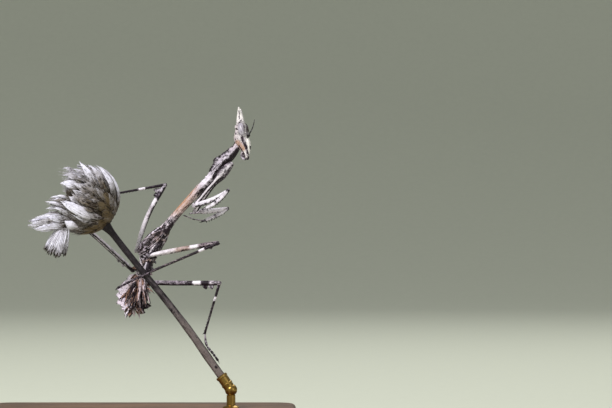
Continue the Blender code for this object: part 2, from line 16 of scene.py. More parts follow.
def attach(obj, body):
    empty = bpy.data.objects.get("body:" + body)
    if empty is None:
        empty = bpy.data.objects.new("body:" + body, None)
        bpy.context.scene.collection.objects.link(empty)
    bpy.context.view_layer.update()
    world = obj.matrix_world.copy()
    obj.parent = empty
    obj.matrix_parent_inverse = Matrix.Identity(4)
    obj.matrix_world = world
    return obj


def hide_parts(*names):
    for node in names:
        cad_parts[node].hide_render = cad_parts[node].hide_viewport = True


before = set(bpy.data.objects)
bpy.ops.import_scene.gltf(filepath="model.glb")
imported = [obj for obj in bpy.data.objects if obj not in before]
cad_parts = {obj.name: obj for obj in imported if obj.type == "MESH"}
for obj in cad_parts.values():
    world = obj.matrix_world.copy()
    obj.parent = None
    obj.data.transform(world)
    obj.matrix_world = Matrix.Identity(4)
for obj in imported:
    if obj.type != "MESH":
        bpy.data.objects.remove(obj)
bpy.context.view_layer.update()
MM = 0.001
chance = np.random.default_rng(7)

# %% [markdown]
# ## Smooth lines and round limbs
#
# Nearly everything on an insect is a tube that swells and narrows: a leg, a feeler, the chest. So
# the first helpers draw a smooth line through a few measured places, and lay a closed skin round
# it. A row of the line holds its place and two half sizes, so that a limb can be flat or round.
# Each point also keeps a place called flow, squeezed along the limb, and noise that reads it makes
# markings that run lengthwise, as the streaks on a mantis do.

# %% A smooth line through a few rows of numbers
def smooth(rows, count):
    """Rows read along a smooth curve through the given ones, evenly spaced by distance."""
    rows = np.array(rows, float)
    padded = np.vstack([2 * rows[0] - rows[1], rows, 2 * rows[-1] - rows[-2]])
    fine = []
    for before, start, end, after in zip(padded, padded[1:], padded[2:], padded[3:]):
        t = np.linspace(0, 1, 16, endpoint=False)[:, None]
        fine.append(0.5 * (2 * start + (end - before) * t
                           + (2 * before - 5 * start + 4 * end - after) * t ** 2
                           + (3 * start - before - 3 * end + after) * t ** 3))
    fine = np.vstack([*fine, rows[-1:]])
    distance = np.r_[0, np.cumsum(np.linalg.norm(np.diff(fine[:, :3], axis=0), axis=1))]
    wanted = np.linspace(0, distance[-1], count)
    return np.column_stack([np.interp(wanted, distance, column) for column in fine.T])


def unit(vectors):
    """Vectors made one long."""
    vectors = np.asarray(vectors, float)
    return vectors / np.maximum(np.linalg.norm(vectors, axis=-1, keepdims=True), 1e-9)


# %% A closed skin round a line
STRETCH = 0.22    # streaks come out about five times as long as they are wide
BULGE = 0.7       # how far a tube's round end stands out, as a share of its half size


def frame_of(rows, ups):
    """Which way is along, up and across at each row, for one up direction or several in turn."""
    along = unit(np.gradient(rows[:, :3], axis=0))
    ups = np.atleast_2d(np.array(ups, float))
    share = np.linspace(0, 1, len(rows))
    tops = np.column_stack([np.interp(share, np.linspace(0, 1, len(ups)), column) for column in ups.T])
    across = unit(np.cross(along, tops))
    return along, np.cross(across, along), across


def walls(grid):
    """Quads between neighbouring rows of point numbers, where each row is a closed ring."""
    turned = np.roll(grid, -1, axis=-1)
    corners = (grid[..., :-1, :], turned[..., :-1, :], turned[..., 1:, :], grid[..., 1:, :])
    return np.stack(corners, -1).reshape(-1, 4).tolist()


def sweep(rows, ups, sides, profile=None, caps=3):
    """Rings round a line, closed with round ends. Rows hold x, y, z, half height, half width.

    profile(angle, share) makes ridges: it multiplies the ring's size, with angle 0 at the top.
    """
    rows = np.array(rows, float)
    centre, high, wide = rows[:, :3], rows[:, 3], rows[:, 4]
    along, top, across = frame_of(rows, ups)
    share = np.linspace(0, 1, len(rows))
    turn = np.radians(np.linspace(90, 0, caps + 1)[1:-1])
    order = np.r_[np.zeros(len(turn), int), np.arange(len(rows)), np.full(len(turn), len(rows) - 1)]
    scale = np.r_[np.cos(turn), np.ones(len(rows)), np.cos(turn[::-1])]
    shift = np.r_[-np.sin(turn), np.zeros(len(rows)), np.sin(turn[::-1])]
    angle = np.linspace(0, 2 * math.pi, sides, endpoint=False)
    grow = np.ones((len(order), sides)) * scale[:, None]
    if profile is not None:
        grow = profile(angle[None, :], share[order][:, None]) * grow
    rise = high[order][:, None] * np.cos(angle) * grow
    reach = wide[order][:, None] * np.sin(angle) * grow
    depth = np.minimum(high, wide)[order]
    middle = (centre[order] + along[order] * (shift * depth * BULGE)[:, None])[:, None]
    points = middle + top[order][:, None] * rise[..., None] + across[order][:, None] * reach[..., None]
    poles = [centre[0] - along[0] * depth[0] * BULGE, centre[-1] + along[-1] * depth[-1] * BULGE]
    count = len(order)
    length = np.linalg.norm(np.diff(centre, axis=0), axis=1).sum()
    travel = np.repeat(share[order] * length, sides).reshape(count, sides) * STRETCH
    flow = np.stack([travel, rise, reach], -1)
    flow = np.vstack([flow.reshape(-1, 3), (0, 0, 0), (length * STRETCH, 0, 0)]) + chance.random(3) * 9
    first = np.arange(count * sides).reshape(count, sides)
    low = [(count * sides, b, a) for a, b in zip(first[0], np.roll(first[0], -1))]
    end = [(count * sides + 1, a, b) for a, b in zip(first[-1], np.roll(first[-1], -1))]
    return {
        "points": np.vstack([points.reshape(-1, 3), poles]),
        "faces": [*walls(first), *low, *end],
        "share": np.r_[np.repeat(share[order], sides), 0, 1],
        "angle": np.r_[np.tile(angle, count), 0, 0],
        "flow": flow,
    }


# %% [markdown]
# ## Thin blades
#
# Leaf lobes on the legs and belly, wing pads and the papery bracts of the seed head are all thin
# blades with a midrib. One helper lays a grid along a curved rib, cups it, and gives it a
# thickness that fades towards the edge. Each surface also carries how far along and how far
# across each of its points lies, which the markings use later.

# %% A thin blade with a midrib
LEAF = ((0, 0.55), (0.25, 0.95), (0.5, 1.0), (0.75, 0.7), (0.92, 0.32), (1, 0.06))


def hill(values, centre, width):
    """1 at the centre, fading to 0 over the width on both sides."""
    return np.exp(-(((values - centre) / width) ** 2))


def ribbon(path, faces, width, thick, cup, outline, across, ragged=0.0, crease=0.0):
    """A leaf along a curved rib whose flat side looks along faces. ragged frays its tip, and
    crease folds it lengthwise."""
    path, faces = np.array(path, float), np.array(faces, float)
    along = unit(np.gradient(path, axis=0))
    side = unit(np.cross(faces, along))
    face = np.cross(along, side)
    length = len(path)
    distance = np.r_[0, np.cumsum(np.linalg.norm(np.diff(path, axis=0), axis=1))]
    t = (distance / distance[-1])[:, None]
    s = np.linspace(-1, 1, across)[None, :]
    half = np.interp(t, *np.array(outline).T) * width
    reach = t * (1 - ragged * chance.random(across)[None, :] * (0.4 + 0.6 * np.abs(s)) * t ** 2)
    middle = np.stack([np.interp(reach, t[:, 0], column) for column in path.T], -1)
    wave = cup * half * s ** 2 + crease * half * np.cos(5 * math.pi * s)
    sheet = middle + side[:, None] * (half * s)[..., None] + face[:, None] * wave[..., None]
    midrib = thick * 0.7 * hill(s, 0, 0.16) * (1 - t)
    body = thick * (1 - 0.8 * np.abs(s) ** 3) * (1 - 0.55 * t) + midrib
    upper, lower = (sheet + way * face[:, None] * body[..., None] / 2 for way in (1, -1))
    number = np.arange(length * across).reshape(length, across)
    flat = np.stack([number[:-1, :-1], number[:-1, 1:], number[1:, 1:], number[1:, :-1]], -1).reshape(-1, 4)
    rim = np.r_[number[0, :-1], number[:-1, -1], number[-1, :0:-1], number[:0:-1, 0]]
    ring = np.roll(rim, -1)
    total = length * across
    edges = np.stack([ring, rim, rim + total, ring + total], -1)
    flow = np.stack([t * distance[-1] * STRETCH * 0.6 + 0 * s, half * s, 0 * half * s], -1).reshape(-1, 3)
    return {
        "points": np.vstack([upper.reshape(-1, 3), lower.reshape(-1, 3)]),
        "faces": [*flat.tolist(), *(flat[:, ::-1] + total).tolist(), *edges.tolist()],
        "share": np.tile(np.broadcast_to(t, (length, across)).ravel(), 2),
        "angle": np.tile(np.broadcast_to(s, (length, across)).ravel(), 2),
        "flow": np.vstack([flow, flow + (0, 0, 0.6)]) + chance.random(3) * 9,
    }


def blade(root, tip, face, width, thick, cup, curl, outline, length=12, across=9, ragged=0.0):
    """A leaf from root to tip, bowed by curl."""
    root, tip = np.array(root, float), np.array(tip, float)
    run = tip - root
    out = unit(np.cross(run, unit(np.cross(face, run))))
    t = np.linspace(0, 1, length)[:, None]
    path = root + run * t + out * curl * np.linalg.norm(run) * np.sin(math.pi * t)
    return ribbon(path, np.tile(out, (length, 1)), width, thick, cup, outline, across, ragged)


# %% [markdown]
# ## Markings
#
# A mantis like this one is marked all over with dark mottling on a pale ground, with tan patches
# and bands on the legs. The markings are three amounts held at every point of the mesh: dark is
# how much of the ground the dark mottling covers, warm turns the ground tan, and pale turns it
# from lilac grey to white. Painted shade on lower, far and outer sides, and painted highlights on a
# few ridges, go into the same amounts. Painting amounts on the mesh, and leaving the fine speckle
# to the shader, lets one cuticle material serve every part of the body.

# %% Painting amounts along and across a part
AMOUNTS = ("dark", "warm", "pale")


def clamp(values):
    """Values kept between 0 and 1."""
    return np.clip(values, 0, 1)


def bands(surface, stops, under=0.0, at=None):
    """Paints a part by stops of (share along, dark, warm, pale), or all over with the mix at one
    share. The amount for the lower side darkens that side, as painted shade."""
    table = np.array(stops, float)
    share = surface["share"] if at is None else np.full(len(surface["points"]), at)
    for column, name in enumerate(AMOUNTS, start=1):
        surface[name] = np.interp(share, table[:, 0], table[:, column])
    if under:
        # painted shade: the lower side of the part is darkened by the given amount
        surface["dark"] = surface["dark"] + under * clamp(-np.cos(surface["angle"])) ** 2
    return surface


def plain(surface, dark=0.0, warm=0.0, pale=0.5):
    """The same three amounts all over a part."""
    return bands(surface, ((0, dark, warm, pale), (1, dark, warm, pale)))


def stroke(points, start, end, radius, soft=0.5):
    """1 on a round brush stroke between two places, fading to 0 at its edge."""
    start, end = np.array(start, float), np.array(end, float)
    run = end - start
    t = clamp((points - start) @ run / max(run @ run, 1e-9))
    distance = np.linalg.norm(points - (start + t[:, None] * run), axis=1)
    return clamp((radius - distance) / (radius * soft))


# %% Surfaces to one Blender object
def join(surfaces):
    """The points of several surfaces in one array, and their faces renumbered to match."""
    points, faces, offset = [], [], 0
    for surface in surfaces:
        points.append(surface["points"])
        faces += [[index + offset for index in face] for face in surface["faces"]]
        offset += len(surface["points"])
    return np.vstack(points), faces


def make(name, surfaces, finish, nodes=(), sharp=40):
    """Joins surfaces into one mesh in metres that rides on the model and stands for its solids.

    A finish is a material and the slot of the record that it belongs to; the slot is not used.
    """
    material, slot = finish
    points, faces = join(surfaces)
    mesh = bpy.data.meshes.new(name)
    mesh.from_pydata((points * MM).tolist(), [], faces)
    for key in AMOUNTS:
        values = np.concatenate([surface.get(key, np.zeros(len(surface["points"]))) for surface in surfaces])
        mesh.attributes.new(key, "FLOAT", "POINT").data.foreach_set("value", values.astype(np.float32))
    flow = np.vstack([surface.get("flow", surface["points"]) for surface in surfaces]).astype(np.float32)
    mesh.attributes.new("flow", "FLOAT_VECTOR", "POINT").data.foreach_set("vector", flow.ravel())
    mesh.shade_smooth()
    mesh.set_sharp_from_angle(angle=math.radians(sharp))
    mesh.materials.append(material)
    piece = bpy.data.objects.new(name, mesh)
    bpy.context.scene.collection.objects.link(piece)
    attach(piece, "root")
    if nodes:
        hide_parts(*nodes)
    print(f"{name}: {len(mesh.polygons)} faces")


# %% [markdown]
# ## Colours and one node helper
#
# Colours are picked as sRGB hex values, the way a colour picker shows them, and turned to the
# linear values that shaders need. Materials are built from nodes, and one small helper adds a
# node, sets its properties and fills its inputs with values or links.

# %% Colour and node helpers
def linear(code):
    """An sRGB hex colour as linear red, green, blue and alpha."""
    parts = [int(code[place:place + 2], 16) / 255 for place in (1, 3, 5)]
    return (*[c / 12.92 if c <= 0.04045 else ((c + 0.055) / 1.055) ** 2.4 for c in parts], 1.0)


def add(tree, kind, inputs=None, stops=None, **settings):
    """Adds one node with its settings, its inputs (values or links) and its ramp stops."""
    made = tree.nodes.new("ShaderNode" + kind)
    for name, value in settings.items():
        setattr(made, name, value)
    for name, value in (inputs or {}).items():
        if isinstance(value, bpy.types.NodeSocket):
            tree.links.new(value, made.inputs[name])
        else:
            made.inputs[name].default_value = linear(value) if isinstance(value, str) else value
    for number, (place, colour) in enumerate(stops or ()):
        ramp = made.color_ramp.elements
        spot = ramp[number] if number < len(ramp) else ramp.new(place)
        spot.position, spot.color = place, linear(colour)
    return made


def new_material(name):
    """An empty material and its node tree."""
    material = bpy.data.materials.new(name)
    material.use_nodes = True
    material.node_tree.nodes.clear()
    return material, material.node_tree


# %% [markdown]
# ## Mottled chitin cuticle
#
# The mantis's outer coat is chitin, a hard shell that its rough surface makes dull, so it is a
# dielectric with IOR 1.54, a roughness near 0.5 and a low specular level. Its ground runs from
# lilac grey to white and tan, broken by grey brown flecks 0.1 mm across. Over it lies nearly black
# mottling: round blotches about 0.4 mm across, and streaks that follow each limb. The amounts
# painted on the mesh decide how much of the ground it covers. Small granules of 0.08 mm raise the
# surface. The dry plant is mottled in the same way, so one function mixes all of these materials.

# %% A mottled material
TIMES_PLUS = {"operation": "MULTIPLY_ADD"}    # a Math node: input 0 times input 1, plus input 2
COLOURS = {"data_type": "RGBA"}               # a Mix node: colours 6 and 7, mixed by input 0


def halfway(first, second):
    """The sRGB hex colour half way between two others."""
    pairs = [(int(first[place:place + 2], 16), int(second[place:place + 2], 16)) for place in (1, 3, 5)]
    return "#" + "".join(f"{(a + b) // 2:02X}" for a, b in pairs)


def mottled(slot, name, grey, white, tan, dark_a, dark_b, blotch=0.42, contrast=2.1, rough=0.52,
            streaky=1.8, spotty=1.3):
    """A finish with a pale or tan ground under dark blotches, streaks and specks."""
    material, tree = new_material(name)
    where = add(tree, "TexCoord").outputs["Object"]
    flow = add(tree, "Attribute", attribute_name="flow").outputs["Vector"]
    amount = {key: add(tree, "Attribute", attribute_name=key).outputs["Fac"] for key in AMOUNTS}
    large = add(tree, "TexNoise", {"Vector": where, "Scale": 1 / (blotch * MM), "Detail": 4.0,
                                   "Roughness": 0.62}).outputs["Fac"]
    fine = add(tree, "TexNoise", {"Vector": where, "Scale": 1 / (0.11 * MM), "Detail": 2.0,
                                  "Roughness": 0.6}).outputs["Fac"]
    wash = add(tree, "TexNoise", {"Vector": where, "Scale": 1 / (0.9 * MM), "Detail": 2.0}).outputs["Fac"]
    streak = add(tree, "TexNoise", {"Vector": flow, "Scale": 1 / 0.24, "Detail": 3.0,
                                    "Roughness": 0.6}).outputs["Fac"]
    # dark covers the ground where the painted amount plus the noises' swing passes one half
    blotches = add(tree, "Math", {0: large, 1: spotty, 2: amount["dark"]}, **TIMES_PLUS)
    streaks = add(tree, "Math", {0: streak, 1: streaky, 2: blotches.outputs[0]}, **TIMES_PLUS)
    specks = add(tree, "Math", {0: fine, 1: 1.0, 2: streaks.outputs[0]}, **TIMES_PLUS)
    start = 0.5 * (spotty + streaky + 1.0) + 0.5
    cover = add(tree, "Math", {0: specks.outputs[0], 1: contrast, 2: 0.5 - start * contrast},
                use_clamp=True, **TIMES_PLUS)
    # the ground: lilac grey to white by the painted pale amount, a wide wash and the streaks
    tint = add(tree, "Math", {0: streak, 1: 1.8, 2: -0.9}, **TIMES_PLUS)
    cloud = add(tree, "Math", {0: wash, 1: 0.9, 2: tint.outputs[0]}, **TIMES_PLUS)
    lift = add(tree, "Math", {0: cloud.outputs[0], 1: amount["pale"]}, operation="ADD")
    level = add(tree, "Math", {0: lift.outputs[0], 1: 0.45}, operation="SUBTRACT", use_clamp=True)
    ground = add(tree, "Mix", {0: level.outputs[0], 6: grey, 7: white}, **COLOURS)
    # tan lies over it in patches, itself paler where the ground is
    half = add(tree, "Math", {0: level.outputs[0], 1: 0.4}, operation="MULTIPLY")
    tans = add(tree, "Mix", {0: half.outputs[0], 6: tan, 7: halfway(tan, white)}, **COLOURS)
    patchy = add(tree, "Math", {0: streak, 1: 2.2, 2: -0.2}, **TIMES_PLUS)
    warmth = add(tree, "Math", {0: patchy.outputs[0], 1: amount["warm"]}, operation="MULTIPLY",
                 use_clamp=True)
    tanned = add(tree, "Mix", {0: warmth.outputs[0], 6: ground.outputs[2], 7: tans.outputs[2]}, **COLOURS)
    dark = add(tree, "Mix", {0: wash, 6: dark_a, 7: dark_b}, **COLOURS)
    fleck = add(tree, "Math", {0: fine, 1: 5.0, 2: -2.75}, use_clamp=True, **TIMES_PLUS)
    flecked = add(tree, "Math", {0: fleck.outputs[0], 1: 0.55}, operation="MULTIPLY")
    broken = add(tree, "Mix", {0: flecked.outputs[0], 6: tanned.outputs[2], 7: dark_b}, **COLOURS)
    colour = add(tree, "Mix", {0: cover.outputs[0], 6: broken.outputs[2], 7: dark.outputs[2]}, **COLOURS)
    granules = add(tree, "TexVoronoi", {"Vector": where, "Scale": 1 / (0.08 * MM)})
    height = add(tree, "Math", {0: granules.outputs["Distance"], 1: large}, operation="ADD")
    bump = add(tree, "Bump", {"Height": height.outputs[0], "Strength": 0.5, "Distance": 0.03 * MM})
    dull = add(tree, "Math", {0: fine, 1: 0.3, 2: rough - 0.15}, **TIMES_PLUS)
    shader = add(tree, "BsdfPrincipled", {
        "Base Color": colour.outputs[2], "Roughness": dull.outputs[0], "IOR": 1.54,
        "Specular IOR Level": 0.2, "Normal": bump.outputs[0]})
    add(tree, "OutputMaterial", {"Surface": shader.outputs[0]})
    return material, slot


body_cuticle = mottled("mottled_cuticle", "mottled_chitin", "#7C6D7C", "#EFE4F2", "#B07848", "#060307",
                       "#2A1B24")
dark_cuticle = mottled("dark_cuticle", "dark_chitin", "#75667A", "#E4D9EA", "#7C5636", "#060406",
                       "#261719", 0.34)
leg_cuticle = mottled("banded_leg_cuticle", "banded_chitin", "#8A7A8C", "#F8F0FB", "#AC8058", "#09060B",
                      "#2A1B28", 0.34)
crest_cuticle = mottled("pale_crest_cuticle", "pale_chitin", "#94829A", "#FEF7F6", "#C68C66", "#0A060C",
                        "#382336", 0.26)
print("cuticle materials:", [material.name for material, slot in (body_cuticle, dark_cuticle, leg_cuticle,
                                                                  crest_cuticle)])

# %% [markdown]
# ## One skin from many shapes
#
# The head and the trunk are continuous shells. Each starts as overlapping simple shapes, such as
# skull, cone, lobes and rims. A voxel remesh then wraps all of them in one closed skin, a few
# smoothing steps ease the joins, and noise moves the surface in and out a little, because a
# nymph's cuticle is granular. This gives crisp yet seamless forms without sculpting by hand.

# %% Eggs, merged skins and granules
def egg(centre, half_sizes, axes, sides=28, rings=20):
    """A closed egg with half sizes along three directions, the last one being its long axis."""
    turn = np.linspace(0.12, math.pi - 0.12, rings)
    centre, axes = np.array(centre, float), np.array(axes, float)
    rows = np.column_stack([centre - np.outer(np.cos(turn) * half_sizes[2], axes[2]),
                            np.sin(turn) * half_sizes[0], np.sin(turn) * half_sizes[1]])
    return sweep(rows, axes[0], sides=sides, caps=1)


def grain(points, size):
    """Smooth noise from -1 to 1 whose bumps are about size millimetres wide."""
    return np.array([noise.noise(point) for point in (points / size).tolist()])


def merge(surfaces, voxel):
    """One closed skin over overlapping surfaces, in small even squares."""
    points, faces = join(surfaces)
    mesh = bpy.data.meshes.new("rough")
    mesh.from_pydata(points.tolist(), [], faces)
    thing = bpy.data.objects.new("rough", mesh)
    bpy.context.scene.collection.objects.link(thing)
    wrap = thing.modifiers.new("wrap", "REMESH")
    wrap.mode, wrap.voxel_size = "VOXEL", voxel
    ease = thing.modifiers.new("ease", "SMOOTH")
    ease.factor, ease.iterations = 0.5, 2
    bpy.context.view_layer.update()
    done = bpy.data.meshes.new_from_object(thing.evaluated_get(bpy.context.evaluated_depsgraph_get()))
    places, ways = np.zeros(len(done.vertices) * 3), np.zeros(len(done.vertices) * 3)
    done.vertices.foreach_get("co", places)
    done.vertex_normals.foreach_get("vector", ways)
    skin = {"points": places.reshape(-1, 3), "normals": ways.reshape(-1, 3),
            "faces": [list(face.vertices) for face in done.polygons]}
    bpy.data.objects.remove(thing, do_unlink=True)
    bpy.data.meshes.remove(mesh)
    bpy.data.meshes.remove(done)
    return skin


def roughen(skin, *layers):
    """Moves a merged skin in and out along its normals. A layer is (bump width, height)."""
    start = skin["points"].copy()
    for size, height in layers:
        skin["points"] = skin["points"] + skin["normals"] * (grain(start, size) * height)[:, None]
    return skin


# %% [markdown]
# ## The head
#
# The head is a slim wedge that hangs from the neck: a tall cone on the crown that splits into two
# points, egg-shaped eyes high on the sides, a flat shield on the face and a narrow mouth below.
# It is turned a little towards the viewer and leans back. Its own directions are front, right
# side and up, so that every piece of the face can be given once and mirrored.

# %% The head's own directions
HEAD = np.array((18.3, 3.0, 53.8))
TURN, LEAN = math.radians(12), math.radians(9)
level = np.array((math.cos(TURN), -math.sin(TURN), 0.0))
upright = np.array((0.0, 0.0, 1.0))
FRONT = level * math.cos(LEAN) + upright * math.sin(LEAN)
UP = upright * math.cos(LEAN) - level * math.sin(LEAN)
RIGHT = np.cross(FRONT, UP)


def on_head(front, side, up):
    """A place on the head in the model's millimetres."""
    return HEAD + FRONT * front + RIGHT * side + UP * up


def head_tube(places, count, ups, sides=8, profile=None):
    """A tube through rows of (front, side, up, half height, half width) on the head."""
    rows = [(*on_head(*place[:3]), *place[3:]) for place in places]
    return sweep(smooth(rows, count), ups, sides=sides, profile=profile)


def head_egg(front, side, up, half_sizes, sides, rings):
    """An egg on the head, with its half sizes to the front, side and up."""
    return egg(on_head(front, side, up), half_sizes, (FRONT, RIGHT, UP), sides, rings)


# %% Skull, cone and crest
SKULL = (   # up, front, half depth, half width
    (-3.95, 0.42, 0.26, 0.34), (-3.2, 0.36, 0.55, 0.62), (-2.1, 0.34, 0.86, 0.92),
    (-1.0, 0.08, 1.14, 1.22), (0.0, -0.22, 1.26, 1.4), (1.0, -0.1, 1.0, 1.3),
    (2.0, 0.1, 0.88, 1.06), (2.9, 0.18, 0.74, 0.76), (3.8, 0.24, 0.6, 0.58), (4.4, 0.28, 0.46, 0.44),
)
EYE_FRONT, EYE_SIDE, EYE_UP = 0.42, 1.16, 1.42    # centre of each eye
EYE_HALF = (0.67, 0.7, 1.18)                      # its half sizes to the front, side and up
FEELER_FRONT, FEELER_SIDE = 0.98, 0.34            # root of each feeler


def from_top(angle):
    """How far an angle is from 0, the top of a ring, whichever way round."""
    return np.abs(np.angle(np.exp(1j * angle)))


def skull_shape(angle, share):
    """A flat face with two keels in front, and a squared cone above."""
    front = from_top(angle)
    keel = 0.07 * hill(front, 0.62, 0.14) - 0.05 * hill(front, 0, 0.4)
    cone = 0.06 * np.cos(4 * angle + math.pi) * clamp((share - 0.72) * 5)
    back = 0.05 * hill(front, 2.5, 0.2)
    return 1 + keel + cone + back


head_parts = [head_tube([(front, 0, up, deep, wide) for up, front, deep, wide in SKULL], 70, FRONT, 48,
                        skull_shape)]
for side in (1, -1):
    # the cone ends in two points with a saw-toothed outer edge, the left one a little shorter
    short = 0.32 * (side < 0)
    head_parts.append(head_tube((
        (0.18, 0.2 * side, 3.0, 0.46, 0.3), (0.26, 0.34 * side, 4.2, 0.4, 0.21),
        (0.34, 0.52 * side, 5.05 - short, 0.25, 0.14), (0.4, 0.62 * side, 5.55 - short, 0.09, 0.06),
    ), 16, FRONT, 12))
    for step in range(4):
        up = 3.1 + 0.55 * step
        head_parts.append(head_tube(((0.2, (0.5 - 0.05 * step) * side, up, 0.13, 0.1),
                                     (0.18, (0.72 - 0.06 * step) * side, up + 0.16, 0.03, 0.03)), 4, UP))
    # a lobe behind each eye, a rim round the eye, and the cheek's edge
    head_parts.append(head_egg(-0.58, 0.8 * side, 2.0, (0.3, 0.3, 0.4), 16, 10))
    rim = [(*on_head(EYE_FRONT + 0.69 * math.cos(turn), (EYE_SIDE + 0.1 * math.cos(turn)) * side,
                     EYE_UP + 1.22 * math.sin(turn)), 0.08, 0.08) for turn in np.linspace(0, 2 * math.pi, 40)]
    head_parts.append(sweep(rim, RIGHT, sides=8, caps=1))
    head_parts.append(head_tube((
        (-0.35, 1.14 * side, 0.1, 0.1, 0.1), (0.05, 1.12 * side, -1.1, 0.11, 0.1),
        (0.28, 0.84 * side, -2.2, 0.1, 0.09), (0.4, 0.52 * side, -3.3, 0.08, 0.07)), 20, RIGHT))
    # the ring that each feeler stands in
    socket = [(*on_head(FEELER_FRONT + 0.05 * math.sin(turn), (FEELER_SIDE + 0.2 * math.cos(turn)) * side,
                        0.2 * math.sin(turn)), 0.06, 0.06) for turn in np.linspace(0, 2 * math.pi, 24)]
    head_parts.append(sweep(socket, FRONT, sides=8, caps=1))
print("head shapes before the face plate:", len(head_parts))

# %% [markdown]
# ### Face plate and mouth
#
# Below the feelers a raised shield covers the face, with a ridge down each side. Under it sit the
# clypeus, a smooth cross bar, and the labrum, the flap that closes the mouth. They are blades laid
# on the skull before it becomes one skin, so that the remesh blends their edges in.

# %% Shield, clypeus and jaws
SHIELD = ((0, 0.55), (0.2, 1.0), (0.55, 0.9), (0.85, 0.55), (1, 0.3))
CROSS_BAR = ((0, 0.8), (0.5, 1.0), (1, 0.8))
for top, bottom, width, thick, outline in (((1.04, 0, -0.32), (1.2, 0, -1.75), 0.72, 0.22, SHIELD),
                                           ((1.18, 0, -1.7), (1.12, 0, -2.5), 0.6, 0.26, CROSS_BAR)):
    head_parts.append(blade(on_head(*top), on_head(*bottom), FRONT, width, thick, -0.12, 0.03, outline))
for side in (1, -1):
    head_parts.append(head_tube((
        (1.02, 0.52 * side, -0.2, 0.07, 0.07), (1.2, 0.66 * side, -0.9, 0.08, 0.08),
        (1.22, 0.48 * side, -1.7, 0.07, 0.07)), 14, FRONT))
    head_parts.append(head_egg(0.42, 0.42 * side, -2.95, (0.44, 0.28, 0.8), 16, 12))
skull = roughen(merge(head_parts, 0.052), (0.34, 0.022), (0.12, 0.018))
print("head skin points:", len(skull["points"]))

# %% Markings of the head
SIDE_STROKES = (   # darkness, start, end and radius on each side: two down the face, the cone, the cheek
    (0.42, (0.3, 1.2, 0.0), (0.72, 0.8, -1.9), 0.4), (0.4, (0.64, 0.85, -1.5), (0.6, 0.35, -3.6), 0.27),
    (0.65, (0.13, 0.45, 2.7), (0.36, 0.55, 4.9), 0.18), (0.6, (-0.55, 0.95, -1.4), (0.1, 0.45, -3.4), 0.22))
MIDDLE_STROKES = (   # across the shield, on the mouth, and down the back of the head
    (1.1, (1.35, 0.2, -1.95), (1.3, -0.2, -2.25), 0.42), (1.1, (0.45, 0, -3.7), (0.48, 0, -4.2), 0.46),
    (0.5, (-1.1, 0, 0.2), (-0.2, 0, -2.6), 0.5))
SPOTS = (   # front, up and radius
    (0.3, 3.45, 0.2), (0.42, 2.98, 0.22), (0.1, 2.72, 0.18), (-0.45, 1.7, 0.22), (-0.75, 0.9, 0.24),
    (-0.35, 0.1, 0.26), (-0.95, -0.1, 0.2), (0.15, -0.75, 0.22))


def head_marks(skin):
    """Pale cone, tan cheek, dark diagonal band from eye to mouth with a white stripe behind it."""
    points = skin["points"]
    front, side_way, up = ((points - HEAD) @ way for way in (FRONT, RIGHT, UP))
    dark = 0.3 + 0.16 * grain(points, 0.5) - 0.22 * clamp((up - 2.6) / 1.6)
    pale = 0.62 + 0.3 * clamp((up - 2.2) / 1.5) + 0.3 * clamp((front - 0.7) / 0.4)
    warm = 0.14 * clamp(-front)
    # painted shade in the groove between the cone's points, and a dark ring round each eye that is
    # darkest in front and, as painted shade, darker on the far side of the head
    dark += 0.55 * hill(side_way, 0, 0.12) * clamp((up - 2.4) / 0.8)
    ring = ((front - EYE_FRONT) / EYE_HALF[0]) ** 2 + ((up - EYE_UP) / EYE_HALF[2]) ** 2
    fore = np.clip(0.25 + (front - EYE_FRONT) * 0.9 + (up - EYE_UP) * 0.35, 0.05, 1)
    depth = np.where(side_way > 0, 0.3, 0.9)
    dark += depth * fore * hill(ring, 1.25, 0.35) * (np.abs(side_way) > 0.75)
    for side in (1, -1):
        def mark(start, end, radius):
            return stroke(points, *(on_head(f, s * side, u) for f, s, u in (start, end)), radius)
        warm = np.maximum(warm, mark((-0.65, 1.0, -0.9), (-0.1, 1.0, -1.9), 0.8) ** 0.7 - 0.15)
        for amount, *line in SIDE_STROKES:
            dark += amount * mark(*line)
        white = mark((0.12, 1.0, -1.5), (0.42, 0.5, -3.1), 0.22)
        dark, pale = dark * (1 - white), np.maximum(pale, white)
        for spot, high, size in SPOTS:
            dark += 0.56 * mark((spot, 0.7, high + 0.08), (spot, 1.1, high - 0.08), size)
    bright = clamp((front - 0.86) / 0.2) * clamp((0.2 - up) / 0.5)
    dark, pale = dark * (1 - bright), pale + 0.5 * bright
    for amount, start, end, radius in MIDDLE_STROKES:
        dark += amount * stroke(points, on_head(*start), on_head(*end), radius)
    skin["dark"], skin["warm"], skin["pale"] = dark, warm, pale
    skin["flow"] = np.column_stack([up * STRETCH * 1.4, front, side_way])
    return skin


make("head_shell", [head_marks(skull)], crest_cuticle, ["head"], sharp=180)

# %% [markdown]
# ## Eyes
#
# A mantis has large compound eyes, each of thousands of tiny lenses, and three bead eyes between
# the feelers. The lenses are about 0.04 mm across, so they are bump, while the eye's egg shape is
# mesh. The eye is a dull grey lilac with darker streaks that run up it, and brown towards its
# front edge. The far eye is painted darker and browner still, as painted shade.

# %% Compound eye material: glassy chitin lenses over grey pigment
lens_chitin, tree = new_material("lens_chitin")
where = add(tree, "TexCoord").outputs["Object"]
brown = add(tree, "Attribute", attribute_name="dark").outputs["Fac"]
flow = add(tree, "Attribute", attribute_name="flow").outputs["Vector"]
fleck = add(tree, "TexNoise", {"Vector": flow, "Scale": 1 / 0.22, "Detail": 5.0, "Roughness": 0.75})
pigment = add(tree, "ValToRGB", {"Fac": fleck.outputs["Fac"]},
              stops=((0.35, "#463C44"), (0.42, "#938A97"), (0.55, "#BDB5C2"), (0.66, "#E2DCE4")))
